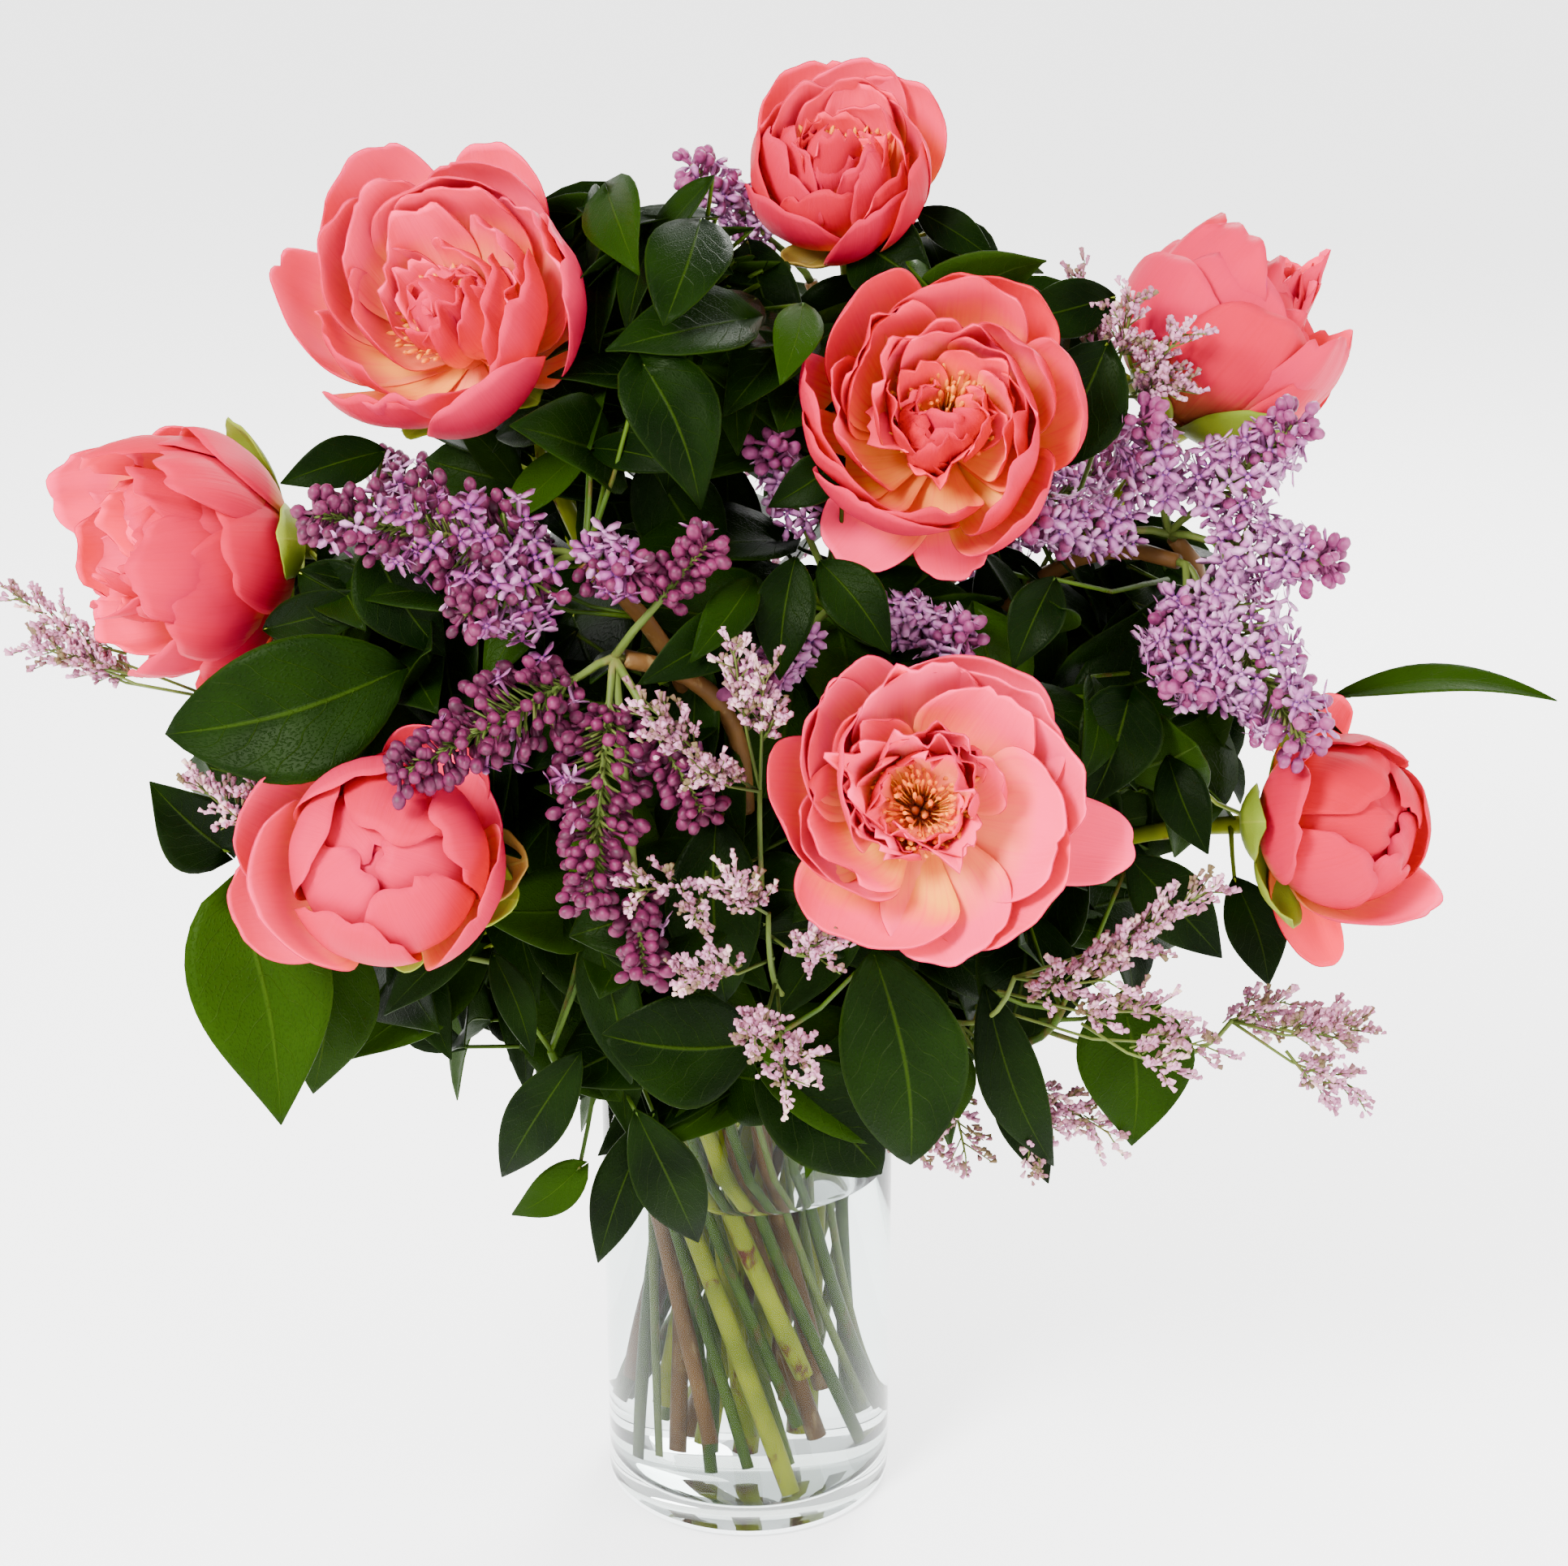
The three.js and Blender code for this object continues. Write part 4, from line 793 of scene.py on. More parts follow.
def leaf(sheaf, root, base, tip, half_width, form, facing, draw, tone, shape):
    """A stalk, then an arched blade with a folded midrib, a waved edge and a drooping tip"""
    way = tip - base
    length = np.linalg.norm(way)
    way = way / length
    normal = unit(facing - way * facing.dot(way))
    side = np.cross(way, normal)
    sway = draw(-1, 1) * 0.05 * length
    droop = draw(0.0, 1.0) * 0.05 * length
    phase = draw(0, 6)
    waves = draw(2.2, 3.6)
    lobe = 0.13 if form == "heart" else 0.03

    def surface(u, v):
        half = 0.3 + (half_width - 0.3) * leaf_form(form, v)
        arch = 0.3 * length * v * (1 - v) - droop * v ** 3
        back = lobe * length * u * u * (1 - v) ** 5
        wave = 0.05 * half_width * np.sin(waves * math.pi * v + phase + 1.2 * np.sign(u)) * u * u
        quilt = 0.012 * half_width * np.cos(18 * v - 5.2 * np.abs(u)) * (1 - u * u)
        swell = np.sin(math.pi * np.clip(v, 0, 1)) ** 0.5
        rise = arch + 0.24 * np.abs(u) ** 1.2 * half + (wave + quilt) * swell
        along = length * v - back
        bow = sway * np.sin(math.pi * v)
        return base + np.outer(along, way) + np.outer(u * half + bow, side) + np.outer(rise, normal)

    sheaf.add(shape, bent(shape, surface, leaf_wall), tone, 1)
    middle = (root + base) / 2 + vec(0, 0, -0.06 * np.linalg.norm(base - root))
    path = [root, (root + middle) / 2, middle, (middle + base) / 2, base, base + way * 0.06 * length]
    tube(sheaf, path, [1.5, 1.3, 1.15, 1.1, 1.1, 0.7], 5, 0.6, 3)


def leaves_on(sheaf, name):
    corners = stem_lines[name][1]
    for i, (owner, base, tip, half_width, form, tone, facing) in enumerate(front_leaves):
        if owner == name:
            draw = Draws(301 + 7 * i)
            root = nearest_root(corners, base)
            tone = draw(0.1, 0.7) if tone is None else tone
            leaf(sheaf, root, base, tip, half_width, form, facing, draw, tone, big_leaf)
    for i, (root, base, tip, half_width, form, tone, facing) in enumerate(filling[name]):
        draw = Draws(5001 + 13 * i + len(name))
        leaf(sheaf, root, base, tip, half_width, form, facing, draw, tone, small_leaf)
    if name not in fill_leaves:
        return
    count, length, half_width, form = fill_leaves[name]
    draw = Draws(count * 97 + len(name))
    for i in range(count):
        place = min(2 + (len(corners) - 3) * (i + 0.7) / count, len(corners) - 1.001)
        k = int(place)
        root = corners[k] + (corners[k + 1] - corners[k]) * (place - k)
        away = unit((root - bunch_middle) * vec(1, 1, 0))
        swing = math.sin(math.radians(golden_turn * i)) * 0.8 + draw(-0.2, 0.2)
        way = away + vec(-away[1], away[0], 0) * swing
        way = unit(vec(way[0], way[1], draw(-0.35, 0.5)))
        base = root + way * draw(14, 26)
        size = draw(0.85, 1.15)
        tip = base + way * length * size
        facing = unit(tip - bunch_middle) + vec(0, 0, 0.5)
        own = Draws(911 + 31 * i + len(name))
        leaf(sheaf, root, base, tip, half_width * size, form, facing, own, own(0.1, 0.9), big_leaf)


def front_leaf(owner, base, tip, half_width, form, tone=None, facing=front):
    return owner, vec(*base), vec(*tip), half_width, form, tone, vec(*facing)


front_leaves = [front_leaf(*row) for row in leaves]

# Leaves that fill the bunch between its flowers. Each row of the outline is a height, then how far the
# leaves reach to the left, to the right, and to front and back.
outline = np.array([
    (246, -112, 100, 92), (280, -182, 150, 112), (320, -226, 198, 130), (370, -258, 228, 144),
    (430, -264, 244, 152), (480, -240, 240, 152), (530, -212, 220, 144), (580, -184, 188, 126),
    (630, -140, 150, 104), (684, -76, 84, 74)], float)
eye = vec(19, -1589, 1036)
keep_clear = [(vec(*bloom["centre"]), 66) for bloom in blooms.values()]
for lilac in lilacs.values():
    for tip, radius, bare in lilac["panicles"]:
        fork = vec(*lilac["fork"])
        for share in (0.4, 0.7, 0.95):
            keep_clear.append((fork + (vec(*tip) - fork) * share, radius * 0.85))
for head, tips in limoniums.values():
    keep_clear += [(vec(*tip), 15) for tip in tips]


def reach_at(height):
    return [np.interp(height, outline[:, 0], outline[:, k]) for k in (1, 2, 3)]


def in_the_way(place, reach):
    """Whether a leaf here would run into a flower or hide it from the front"""
    for centre, radius in keep_clear:
        if np.linalg.norm(place - centre) < radius + 0.2 * reach:
            return True
        sight = unit(centre - eye)
        ahead = (place - eye).dot(sight)
        aside = np.linalg.norm(place - eye - sight * ahead)
        if ahead < np.linalg.norm(centre - eye) and aside < radius * 0.9 + 0.42 * reach:
            return True
    return False


fine_paths = {}
for name, (path, _, _) in stem_lines.items():
    path = np.array([point for point in path if point[2] > 262])
    steps = np.linspace(0, len(path) - 1.02, 70)
    fine_paths[name] = np.stack([np.interp(steps, range(len(path)), path[:, k]) for k in range(3)], 1)


def closest_root(name, place):
    """Where a leaf's stalk leaves the stem, a little below the blade's foot"""
    path = fine_paths[name]
    cost = np.linalg.norm(path - place, axis=1) + np.maximum(0, path[:, 2] - place[2] + 14)
    best = int(np.argmin(cost))
    return cost[best], path[best]


def give(placed, base, way, length, half_width, form, tone, facing):
    """Hands a leaf to the stem that is nearest to its base"""
    nearest = min(owners, key=lambda name: closest_root(name, base)[0])
    root = closest_root(nearest, base)[1]
    placed[nearest].append((root, base, base + way * length, half_width, form, tone, facing))


look_step = 11
look_places = (0.25, 0.5, 0.75)


def close_gaps(placed, draw):
    """Puts a leaf behind each place inside the bunch where the viewer would look through it"""
    screens = [
        (centre, radius * (0.85 if radius > 50 else 0.55)) for centre, radius in keep_clear if radius > 15]
    for listed in [*placed.values(), front_leaves]:
        for _, base, tip, half_width, _, _, facing in listed:
            seen = abs(unit(facing).dot(unit(base - eye)))
            screens += [(base + (tip - base) * share, half_width * 0.7 * seen) for share in look_places]
    for height in range(268, 668, look_step):
        left, right, _ = reach_at(height)
        for aside in range(int(left) + 14, int(right) - 12, look_step):
            sight = unit(vec(aside, 0, height) - eye)
            centres = np.array([centre for centre, _ in screens]) - eye
            off = np.linalg.norm(centres - np.outer(centres @ sight, sight), axis=1)
            if (off < np.array([radius for _, radius in screens])).any():
                continue
            for _ in range(14):
                centre = eye + sight * (draw(-50, 95) - eye[1]) / sight[1]
                if not in_the_way(centre, 20):
                    break
            else:
                continue
            length = draw(58, 78)
            way = unit(np.cross(sight, vec(draw(-1, 1), draw(-0.3, 0.3), 1)) * draw(-1, 1) + vec(0, 0, -0.6))
            facing = vec(draw(-0.4, 0.4), 0, draw(0, 0.5)) - sight
            base = centre - way * length / 2
            give(placed, base, way, length, length * 0.33, "broad", draw(0.05, 0.6), facing)
            screens += [(base + way * length * share, length * 0.25) for share in look_places]


most_filling = 760
most_tries = 14000


def filling_leaves():
    """Seeded places in the outline, denser near its skin, each given to the stem that is nearest"""
    draw = Draws(7411)
    placed = {name: [] for name in slots}
    count = 0
    tries = 0
    while count < most_filling and tries < most_tries:
        tries += 1
        height = draw(250, 684)
        left, right, depth = reach_at(height)
        turn = draw(0, 2 * math.pi)
        inner = draw(0, 1) < 0.3
        share = draw(0.05, 0.5) if inner else 1 - 0.55 * draw(0, 1)
        middle, half = (left + right) / 2, (right - left) / 2
        centre = vec(middle + half * share * math.cos(turn), depth * share * math.sin(turn), height)
        slope = vec(math.cos(turn) / half, math.sin(turn) / depth, (height - 400) / 90000 + 0.001)
        outwards = unit(slope * 100)
        length = draw(52, 92) * (1.15 if inner else 1) * (1 if height < 600 else 0.85)
        if in_the_way(centre, length / 2):
            continue
        aside = np.cross(outwards, vec(0, 0, 1))
        way = unit(outwards * draw(0.2, 0.9) + aside * draw(-0.8, 0.8) + vec(0, 0, draw(-1.1, 0.35)))
        facing = unit(outwards + vec(0, 0, 0.45) + aside * draw(-0.4, 0.4))
        form = ("lance", "heart", "broad", "lance")[int(draw(0, 3.99))]
        half_width = length * {"lance": 0.2, "heart": 0.33, "broad": 0.34}[form] * draw(0.85, 1.15)
        base = centre - way * length / 2
        give(placed, base, way, length, half_width, form, draw(0.05, 1.0), facing)
        count += 1
    close_gaps(placed, draw)
    return placed


owners = [name for name in slots if name not in limoniums]
filling = filling_leaves()


# Peonies
petal_wall = 0.55
sepal_wall = 0.9
petal_sheet = sheet_shape(16, 14)
small_sheet = sheet_shape(10, 9)


def petal_surface(axes, foot, petal):
    """A bowl-shaped blade on the flower's axis: narrow at its foot, round or lobed at its top"""
    out = axes[0]
    away = spun_round(axes, petal["azimuth"])
    sideways = np.cross(out, away)
    start, turn = petal["start"], petal["end"] - petal["start"]
    length, half_width, lean, phase = petal["length"], petal["half_width"], petal["lean"], petal["phase"]
    widest, round_top, narrow_foot = 0.58, 0.45, 0.24
    cup_radius = half_width / max(2 * petal["cup"], 0.05)

    def surface(u, v):
        low = np.clip(v / 0.5, 0, 1)
        top = np.clip((v - 0.5) / 0.5, 0, 1)
        width = narrow_foot + (1 - narrow_foot) * np.sin(math.pi / 2 * low) ** 1.15
        width = width * np.sqrt(1 - round_top * top * top)
        along = widest * low + (1 - widest) * top * np.sqrt(1 - round_top * u * u)
        lobed = np.abs(np.sin(petal["lobes"] * u + phase)) - 0.75
        nicks = sum(deep * np.exp(-((u - where) / 0.1) ** 2) for where, deep in petal["notches"])
        along = along + (petal["scallop"] * lobed - nicks + petal["point"] * (1 - u * u) ** 3) * top ** 3
        angle = start + turn * along
        rise = length * (np.sin(angle) - math.sin(start)) / turn
        spread = length * (math.cos(start) - np.cos(angle)) / turn
        inward = np.outer(np.sin(angle), out) - np.outer(np.cos(angle), away)
        bend = u * (half_width * width) / cup_radius
        across = cup_radius * np.sin(bend)
        late = np.clip(along, 0, 1.1) ** 2
        wave = np.sin(petal["waves"] * u + phase) * late
        wave = wave + 0.6 * np.sin(1.9 * petal["waves"] * u - 2.3 * phase) * late * late
        wave = wave + 0.7 * np.sin(6.5 * v + phase + np.sign(u)) * u * u * v
        lift = cup_radius * (1 - np.cos(bend)) + across * math.sin(lean)
        lift = lift + petal["ruffle"] * half_width * wave
        lift = lift + 0.05 * half_width * np.exp(-(u / 0.12) ** 2) * v * (1 - v)
        lift = lift + petal["curl"] * half_width * np.clip((along - 0.7) / 0.3, 0, 1.2) ** 2
        points = foot + np.outer(petal["low"] + rise, out) + np.outer(petal["base_radius"] + spread, away)
        return points + np.outer(across * math.cos(lean), sideways) + inward * lift[:, None]

    return surface


def petal_of(draw, row, base_radius, low, lean, ruffle, curl=0.0, scallop=0.0):
    """A petal from its row, with the notches, waves, curl and tone that are drawn for it"""
    azimuth, length, half_width, start, end, cup = row
    nicks = int(draw(0, 2.6))
    return dict(
        azimuth=math.radians(azimuth), length=length, half_width=half_width, start=math.radians(start),
        end=math.radians(end), cup=cup, base_radius=base_radius, low=low, lean=math.radians(lean), point=0,
        notches=[(draw(-0.8, 0.8), draw(0.02, 0.06)) for _ in range(nicks)],
        scallop=scallop * draw(0.4, 1.3), lobes=draw(2.4, 4.6), waves=draw(3.6, 6.0),
        ruffle=ruffle * draw(0.6, 1.4), phase=draw(0, 6.28), curl=curl * draw(0.2, 1.4),
        tone=draw(0.2, 0.85))


def petal_row(bloom, draw, count, ring, cup, first, depth, rough):
    """One whorl of overlapping petals; deeper whorls leave the side towards the viewer open"""
    length, half_width, start, end = ring[:4]
    gap_at = bloom.get("gap_at", 270)
    gap = bloom.get("gap", 52) if depth > 1.5 else 0
    low = 2 + depth * (0.05 + 0.15 * bloom.get("heart", 9))
    petals = []
    for i in range(count):
        degrees = first + 360 * i / count + draw(-10, 10)
        azimuth = math.radians(degrees)
        high = 1 + bloom.get("tilt", 0.02 * depth) * math.sin(azimuth)
        fall = bloom.get("drop", 0) * max(0, math.cos(azimuth - math.radians(gap_at)))
        row = (
            degrees, length * high * draw(0.92 - 0.1 * rough, 1.05 + 0.03 * rough),
            half_width * draw(0.88 - 0.1 * rough, 1.14), start + draw(-3, 3),
            end + fall + draw(-9, 9) * (1 + rough), cup)
        petal = petal_of(
            draw, row, 6 - 0.7 * depth, low, 11 + 6 * draw(-1, 1), 0.014 + 0.06 * rough, 0.1 - 0.2 * rough,
            0.025 + 0.045 * rough)
        if abs((degrees - gap_at + 180) % 360 - 180) >= gap:
            petals.append(petal)
    return petals


def open_petals(bloom, draw):
    """A cup of overlapping petals, then crumpled ones that fold over one side of its heart"""
    outer, inner, crumpled = np.array(bloom["rings"], float)
    *_, cup, first = outer
    *_, cup_in, first_in = inner
    long, wide, *_, first_heart = crumpled
    heart, tuft, fold = bloom.get("heart", 9), bloom.get("tuft", 300), bloom.get("fold", -48)
    petals = petal_row(bloom, draw, 6, outer, cup, first, 0, 0.15)
    petals += petal_row(bloom, draw, 6, (outer + inner) / 2, cup, first + 28, 1, 0.4)
    petals += petal_row(bloom, draw, 7, inner, cup_in, first_in, 2, 0.8)
    petals += petal_row(bloom, draw, 7, (inner + crumpled) / 2, cup_in, first_heart, 2.6, 1.2)
    for i in range(14):
        near = i < 8
        row = (
            tuft + draw(-80, 80) if near else tuft + 180 + draw(-100, 100),
            long * (draw(0.75, 1.2) if near else draw(0.45, 0.75)), wide * draw(0.75, 1.15),
            draw(34, 64), fold * draw(0.3, 1.6) if near else draw(-20, 25), 0.5)
        petals.append(petal_of(
            draw, row, 10 - 0.5 * i if near else 9, heart - 3 + 0.5 * i, draw(-26, 26), 0.14,
            draw(-0.35, 0.3), 0.12))
    return petals


def closed_petals(bloom, draw):
    """Petals that hug a ball, each inside the one before; the first ones end lowest on its sides"""
    long, _, start, end, _, first = bloom["rings"][0]
    ball = long / math.radians(start - end)
    petals = []
    count = 15
    for i in range(count):
        share = i / (count - 1)
        radius = ball * (1.02 - 0.34 * share) + (4 if i < 3 else 0)
        end_angle = 24 - 134 * share ** 0.5 + draw(-8, 8)
        half_width = radius * draw(0.76, 0.92) * (1 - 0.2 * share)
        row = (
            first + golden_turn * i + draw(-8, 8), radius * math.radians(88 - end_angle), half_width,
            88, end_angle, half_width / radius / 2)
        petals.append(petal_of(
            draw, row, 5 - 3 * share, 1 + 7 * share, 0, 0.008 + 0.03 * share, 0.06 - 0.2 * (i < 3),
            0.025 + 0.04 * share))
    return petals


def petals_of(bloom):
    draw = Draws(bloom["seed"] + 500)
    loose = [petal_of(draw, row, 6, 0.6, 0, 0.02, 0.05, 0.02) for row in bloom["loose"]]
    return loose + (open_petals if len(bloom["rings"]) == 3 else closed_petals)(bloom, draw)


def lens_shape(length, width, thickness):
    """One small lobe: a flat oval, cupped, thickest in the middle, from x = 0 to its length"""
    deselect()
    bpy.ops.mesh.primitive_cone_add(
        vertices=7, radius1=1, radius2=0, depth=2, end_fill_type="TRIFAN", location=(0, 0, 0))
    shape = Shape()
    x, y, z = shape.points.T
    along = (x + 1) / 2
    height = np.where(np.hypot(x, y) < 0.1, np.sign(z) * thickness / 2, 0)
    narrow = 0.35 + 0.65 * np.sin(math.pi * np.clip(along, 0, 1) ** 1.2 * 0.72)
    shape.points = np.stack([along * length, y * width / 2 * narrow, height + 0.22 * length * along ** 2], 1)
    shape.uv = np.stack([np.full(len(x), 0.5), along], 1)
    return shape


def merged(*shapes):
    """Several shapes as one, each given with its 3 × 3 turn and its place"""
    result = Shape.__new__(Shape)
    counts = np.cumsum([0] + [len(shape.points) for shape, _, _ in shapes])
    result.points = np.concatenate([shape.points @ turn + place for shape, turn, place in shapes])
    result.corners = np.concatenate([shape.corners + n for (shape, _, _), n in zip(shapes, counts)])
    for kind in ("sizes", "uv", "finishes"):
        setattr(result, kind, np.concatenate([getattr(shape, kind) for shape, _, _ in shapes]))
    return result


def ball_shape(width, length, subdivisions=1):
    deselect()
    bpy.ops.mesh.primitive_ico_sphere_add(subdivisions=subdivisions, radius=0.5)
    shape = Shape()
    shape.points = shape.points * vec(width, width, length)
    return shape


def cone_shape(low, high, depth, sides):
    """A closed cone on the origin, standing up +Z"""
    deselect()
    bpy.ops.mesh.primitive_cone_add(
        vertices=sides, radius1=low, radius2=high, depth=depth, location=(0, 0, 0))
    shape = Shape()
    shape.points = shape.points + vec(0, 0, depth / 2)
    shape.uv[:, 1] = shape.points[:, 2] / depth
    return shape


straight = np.eye(3)
none = vec(0, 0, 0)
anther = ball_shape(2.5, 7.5)
filament = cone_shape(0.45, 0.35, 1, 4)
carpel = cone_shape(3.0, 0.8, 13, 7)


def stamens(sheaf, axes, foot, bloom, count=120, finish=0):
    """A thick brush of filaments and anthers round a few pale carpels, on the flower's heart"""
    draw = Draws(bloom["seed"] + 100)
    out = axes[0]
    heart = bloom.get("heart", 9)
    middle = foot + out * heart - spun_round(axes, math.radians(bloom.get("tuft", 300))) * (heart > 9) * 6
    for i in range(count):
        share = math.sqrt((i + 0.5) / count)
        away = spun_round(axes, math.radians(golden_turn * i))
        spread = math.radians(6 + 30 * share + draw(-8, 8))
        way = unit(out * math.cos(spread) + away * math.sin(spread))
        length = draw(14, 22) + 4 * share
        root = middle + away * (2.5 + 7.5 * share)
        stamp(sheaf, filament, root, way, vec(1, 1, length), 0, draw(0.8, 1.0), finish)
        tip = root + way * (length + 2)
        tilt = unit(way + vec(draw(-0.4, 0.4), draw(-0.4, 0.4), draw(-0.4, 0.4)))
        stamp(sheaf, anther, tip, tilt, draw(0.8, 1.15), draw(0, 3), draw(0.35, 0.8), finish)
    for i in range(4):
        away = spun_round(axes, math.radians(90 * i + 20))
        stamp(sheaf, carpel, middle - out + away * 2.5, unit(out + away * 0.15), 1, 0, 0.12, finish)


def calyx(sheaf, axes, foot, bloom, radius, draw):
    """The green cup under a flower with its sepals; finish 3 is the sepal's"""
    shape = cone_shape(radius + 0.8, 11.5, calyx_length, 14)
    stamp(sheaf, shape, foot - axes[0] * calyx_length, axes[0], 1)
    long_out, _, start, end, _, _ = bloom["rings"][0]
    lengths, wider = ((46, 40, 28, 26, 32), 0) if bloom["open"] else ((68, 60, 40, 34, 44), 6)
    turns = [*bloom["sepals"], *(sum(bloom["sepals"]) / 2 + turn + 35 for turn in (70, 150, 215))]
    for i, (azimuth, long, half_width) in enumerate(zip(turns, lengths, (15, 14, 11, 11, 9))):
        bowl = long_out / math.radians(start - end) + 4 + 0.5 * i
        petal = petal_of(draw, (azimuth, long, half_width + wider, 95, 0, 0.4), 7, -2.4, 0, 0.03)
        petal.update(end=petal["start"] - long / bowl, point=0.08, notches=[])
        points = bent(small_sheet, petal_surface(axes, foot, petal), sepal_wall)
        sheaf.add(small_sheet, points, draw(0.2, 0.9), 3)


for name, bloom in blooms.items():
    axes = flower_axes(bloom["axis"])
    foot = vec(*bloom["centre"]) - axes[0] * bloom["depth"]
    corolla = Sheaf()
    base = cone_shape(10.5, 12, 9, 16)
    base.uv *= 0
    stamp(corolla, base, foot, axes[0], 1, 0, 0.3)
    for petal in petals_of(bloom):
        shape = petal_sheet if petal["length"] > 55 else small_sheet
        points = bent(shape, petal_surface(axes, foot, petal), petal_wall)
        corolla.add(shape, points, min(max(petal["tone"] + bloom.get("shade", 0), 0), 1))
    if not bloom["open"] and len(bloom["rings"]) == 3:
        stamens(corolla, axes, foot, bloom, 50, 2)
    finishes = [petal_outside, petal_inside, stamen_colour]
    corolla.piece(name + "_corolla", finishes, name + "_petals")
    if bloom["open"]:
        brush = Sheaf()
        stamens(brush, axes, foot, bloom)
        brush.piece(name + "_anthers", [stamen_colour], name + "_stamens")
    green = Sheaf()
    path = stem_lines[name][0]
    radius = slots[name][2]
    radii = [radius * (1 + 0.05 * math.sin(3.1 * i + bloom["seed"])) for i in range(len(path))]
    tube(green, path, radii, 12)
    calyx(green, axes, foot, bloom, radius, Draws(bloom["seed"] + 40))
    leaves_on(green, name)
    finishes = [peony_stem, leaf_face, leaf_back, sepal_colour, sepal_colour]
    green.piece(name + "_green", finishes, name + "_stem")


# Lilac
def quarter(i):
    turn = math.pi / 2 * i
    return np.array([(math.cos(turn), math.sin(turn), 0), (-math.sin(turn), math.cos(turn), 0), (0, 0, 1)])


lobe = lens_shape(8.4, 4.8, 0.6)
floret_tube = cone_shape(0.8, 1.2, 11, 5)
floret_tube.uv[:, 1] = 0.3
lobes = [(lobe, quarter(i), vec(0, 0, 10.6)) for i in range(4)]
open_floret = merged((floret_tube, straight, none), *lobes)
bud_foot = cone_shape(0.7, 1.1, 8, 5)
bud = merged((bud_foot, straight, none), (ball_shape(5.6, 7.6, 2), straight, vec(0, 0, 10.2)))
angle = np.arctan2(bud.points[:, 1], bud.points[:, 0])
bud.points[:, :2] *= (0.92 + 0.18 * np.abs(np.cos(2 * angle)))[:, None]


def panicle_width(share):
    return math.sqrt(share / 0.25) if share < 0.25 else 1 - 0.65 * (share - 0.25)


def panicle(florets, fork, lean, tip, radius, bare, buds, draw):
    """A rachis from the fork to its tip, with florets in a spiral and buds towards the tip"""
    end = vec(*tip)
    start = fork + (end - fork) * bare
    way = unit(end - start)
    length = np.linalg.norm(end - start)
    axes = flower_axes(way)
    middle = fork + (start - fork) * 0.5 + vec(0, 0, 1)
    bow = [fork - lean * rachis_foot, fork, middle, start, start + way * length * 0.5, end]
    tube(florets, bow, [2.2, 2.2, 2, 1.8, 1.3, 0.6], 6, 0.5, 1)
    count = int(length * radius / 24) + 20
    for i in range(count):
        share = 0.04 + 0.96 * (i + 0.5) / count
        away = spun_round(axes, math.radians(golden_turn * i + draw(-25, 25)))
        reach = max(radius * panicle_width(share) * draw(0.7, 1.1) - 6, 2)
        outwards = unit(away + way * draw(0.15, 0.8) + vec(0, 0, draw(-0.2, 0.3)))
        size = draw(0.85, 1.15)
        root = start + way * length * share + away * max(reach - 9, 0)
        stub = start + way * length * max(share - 0.06, 0)
        tube(florets, [stub, root + outwards * 2], [0.8, 0.7], 3, 0.5, 1)
        if share > draw(0.62, 1.0) or draw(0, 1) < buds:
            stamp(florets, bud, root, outwards, size, draw(0, 3), draw(0, 0.25))
        else:
            stamp(florets, open_floret, root, outwards, size, draw(0, 3), draw(0.5, 1.0))


for name, lilac in lilacs.items():
    draw = Draws(lilac["seed"])
    florets = Sheaf()
    path, _, lean = stem_lines[name]
    for tip, radius, bare in lilac["panicles"]:
        panicle(florets, vec(*lilac["fork"]), lean, tip, radius, bare, lilac.get("buds", 0.2), draw)
    finish, slot = (dark_lilac, "lilac_dark") if lilac["dark"] else (pale_lilac, "lilac_pale")
    florets.piece(name + "_panicles", [finish, twig_green], name + "_florets")
    wood = Sheaf()
    radius = slots[name][2]
    radii = [radius * (1 + 0.07 * math.sin(2.3 * i + lilac["seed"])) for i in range(len(path))]
    tube(wood, path, radii, 10)
    leaves_on(wood, name)
    finishes = [branch_bark, leaf_face, leaf_back, leafy_stem]
    wood.piece(name + "_wood", finishes, name + "_branch")


# Limonium
floret_cup = cone_shape(0.4, 1.2, 3.6, 5)


def limonium_twig(spray, root, tip, draw, size, forks=11, cups=10):
    """A twig that forks again and again, with rows of small cups along the upper side of each fork"""
    way = unit(tip - root)
    axes = flower_axes(way)
    reach = np.linalg.norm(tip - root)
    middle = root + way * reach * 0.5 - vec(0, 0, 0.06 * reach)
    tube(spray, [root, middle, tip - way * 6, tip], [1, 0.8, 0.6, 0.4], 4, 0.4)
    for twig in range(forks):
        share = (twig + 0.5) / forks
        away = spun_round(axes, math.radians(golden_turn * twig + draw(-30, 30)))
        fork = tip - way * 34 * size * (1 - share)
        twig_way = unit(way + away * draw(0.6, 1.2) + vec(0, 0, 0.25))
        twig_end = fork + twig_way * draw(9, 17) * size
        tube(spray, [fork, twig_end], [0.5, 0.35], 3, 0.4)
        tint = draw(0.1, 0.85)
        for cup in range(cups):
            place = fork + (twig_end - fork) * (0.3 + 0.75 * cup / (cups - 1))
            aside = vec(draw(-1.6, 1.6), draw(-1.6, 1.6), draw(-0.6, 1.8))
            cup_way = unit(twig_way + vec(draw(-0.6, 0.6), draw(-0.6, 0.6), draw(0.1, 0.9)))
            stamp(spray, floret_cup, place + aside, cup_way, draw(0.75, 1.2), 0, tint + draw(-0.3, 0.15), 1)


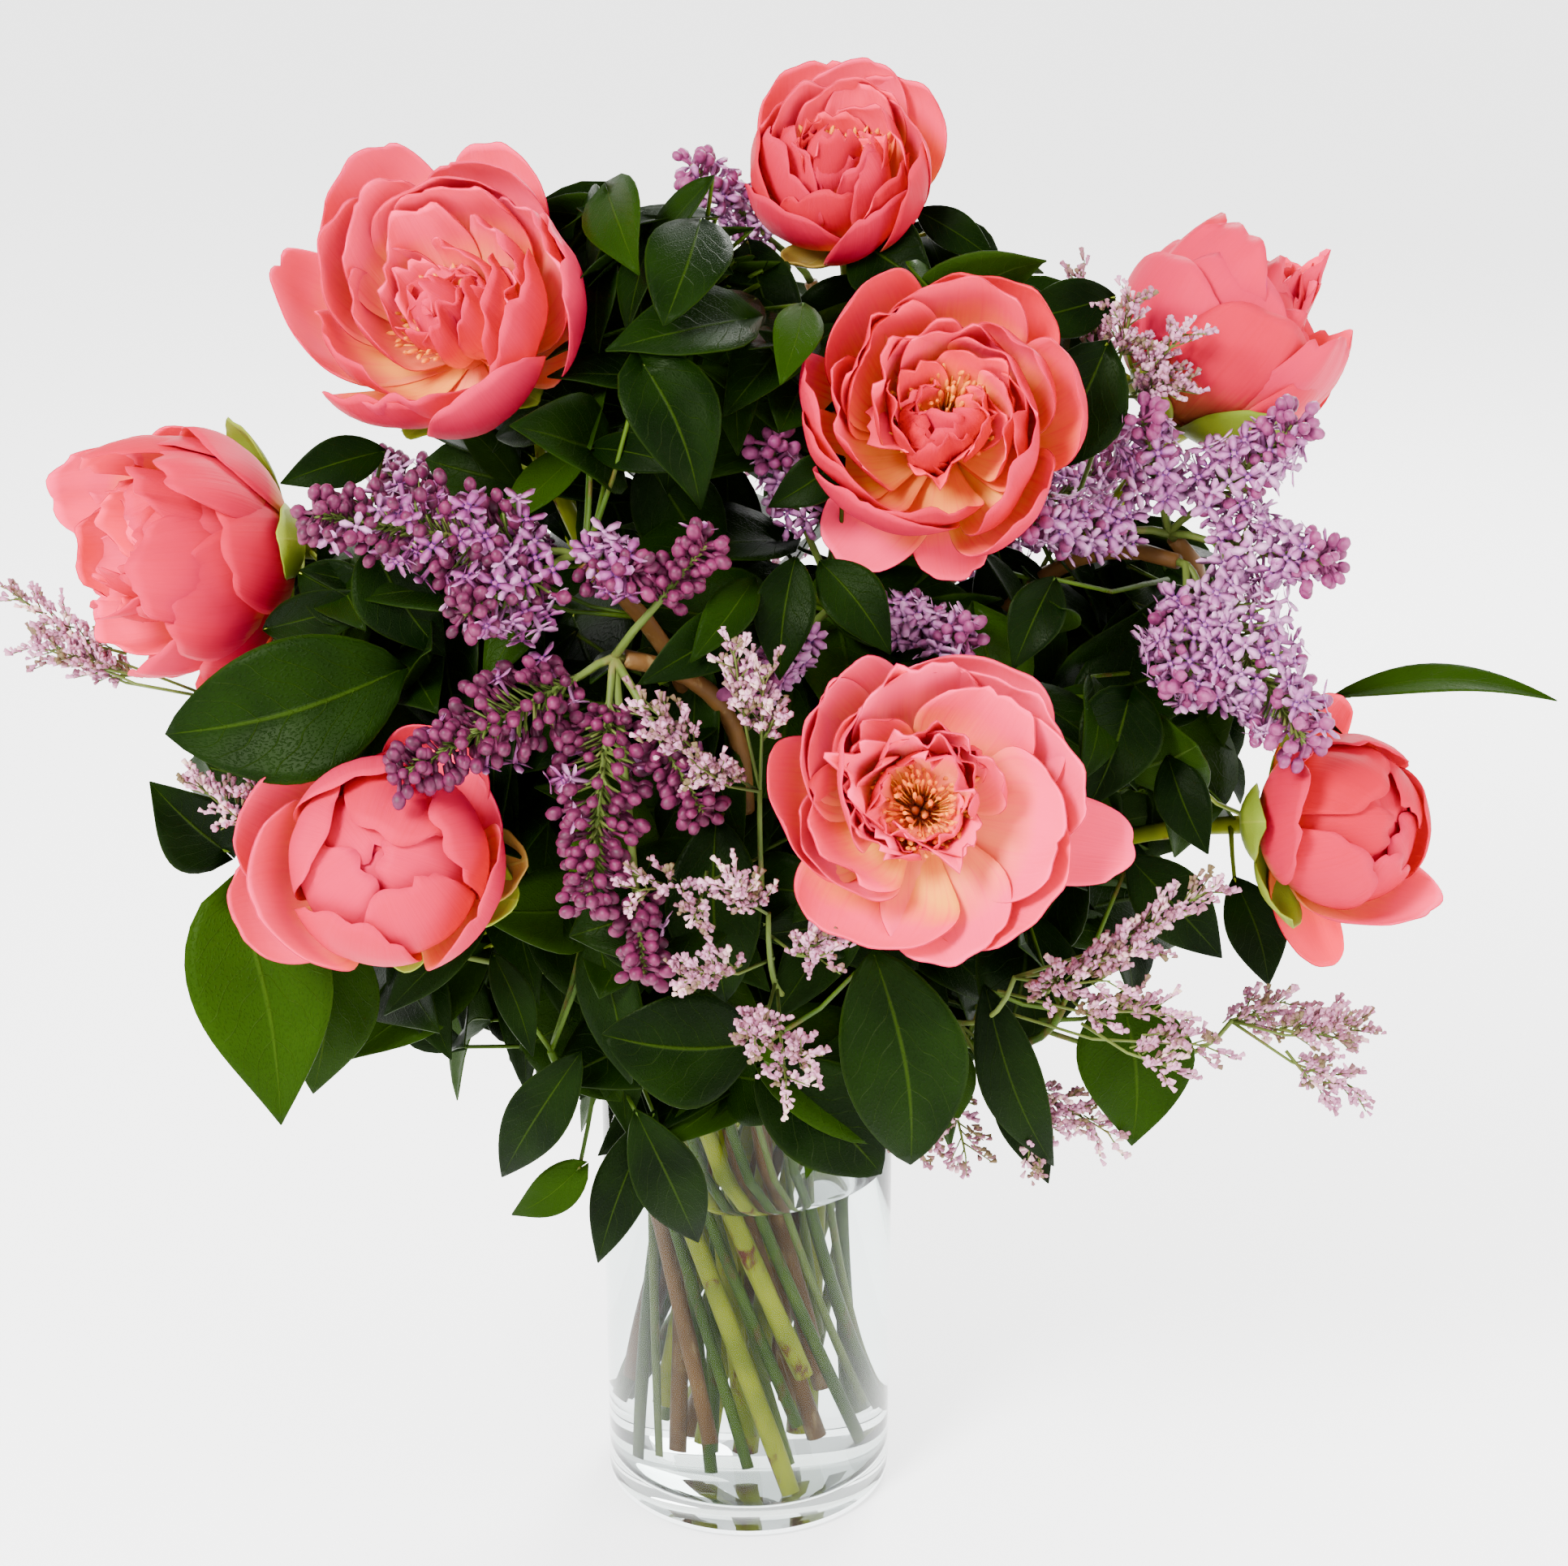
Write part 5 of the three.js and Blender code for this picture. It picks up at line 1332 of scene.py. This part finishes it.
for name, (head, tips) in limoniums.items():
    draw = Draws(len(name) * 17 + len(tips))
    spray = Sheaf()
    path, corners, _ = stem_lines[name]
    tube(spray, path, np.linspace(2, 1.2, len(path)), 7, 0.4)
    for tip in tips:
        tip = vec(*tip)
        root = nearest_root(corners, tip)
        limonium_twig(spray, root, tip, draw, 1)
        if name != "limonium_front_left":
            aside = vec(draw(-16, 16), draw(-8, 2), draw(-12, 8)) - unit(tip - root) * 16
            limonium_twig(spray, root + (tip - root) * 0.45, tip + aside, draw, 0.75)
    spray.piece(name + "_spray", [twig_green, limonium_colour], name + "_stem")

# Leafy stems
for name in leafy_heads:
    leafy = Sheaf()
    path = stem_lines[name][0]
    tube(leafy, path, np.linspace(3, 2, len(path)), 8)
    leaves_on(leafy, name)
    finishes = [leafy_stem, leaf_face, leaf_back, leafy_stem]
    leafy.piece(name + "_leaves", finishes, name + "_stem")


# Floor, lights and camera
def floor():
    """A wide pale floor and, far off, a low round wall of the same stuff, so that no horizon shows"""
    f = Finish(
        "pale floor", Roughness=0.7, Specular_IOR_Level=0.1, Emission_Strength=1.65,
        Emission_Color=(1, 1, 1, 1))
    f.feed("Base Color", f.mix(f.noise(f.place(), 1.5, 2), (0.9, 0.9, 0.9), (0.93, 0.93, 0.925)))
    for name, add, settings in (
            ("pale_floor", bpy.ops.mesh.primitive_plane_add, dict(size=40, location=(0, 0, 0))),
            ("pale_wall", bpy.ops.mesh.primitive_cylinder_add, dict(
                vertices=96, radius=19, depth=6, end_fill_type="NOTHING", location=(0, 0, 2.99)))):
        deselect()
        add(**settings)
        made = bpy.context.object
        made.name = name
        made.data.materials.append(f.material)


light_aim = (0, 0, 0.42)


def soft_light(name, place, size, watts):
    data = bpy.data.lights.new(name, "AREA")
    data.shape = "DISK"
    data.size = size
    data.energy = watts
    made = bpy.data.objects.new(name, data)
    bpy.context.scene.collection.objects.link(made)
    across, deep, up = vec(*light_aim) - vec(*place)
    made.location = place
    tilt = math.atan2(math.hypot(across, deep), -up)
    made.rotation_euler = (tilt, 0, math.atan2(deep, across) - math.pi / 2)


floor()
world = bpy.data.worlds.new("studio")
world.use_nodes = True
world.node_tree.nodes["Background"].inputs["Color"].default_value = (1, 1, 1, 1)
world.node_tree.nodes["Background"].inputs["Strength"].default_value = 1.45
bpy.context.scene.world = world
soft_light("key_light", (-1.1, -1.6, 1.9), 0.8, 152)
soft_light("fill_light", (1.7, -0.8, 1.1), 1.2, 26)
soft_light("back_light", (0.6, 1.6, 1.7), 1.0, 74)

camera_data = bpy.data.cameras.new("camera")
camera_data.lens = 79.0
camera_data.sensor_width = 36.0
camera = bpy.data.objects.new("camera", camera_data)
camera.location = (0.019, -1.589, 1.036)
camera.rotation_euler = (math.radians(68), 0, 0)
bpy.context.scene.collection.objects.link(camera)
bpy.context.scene.camera = camera
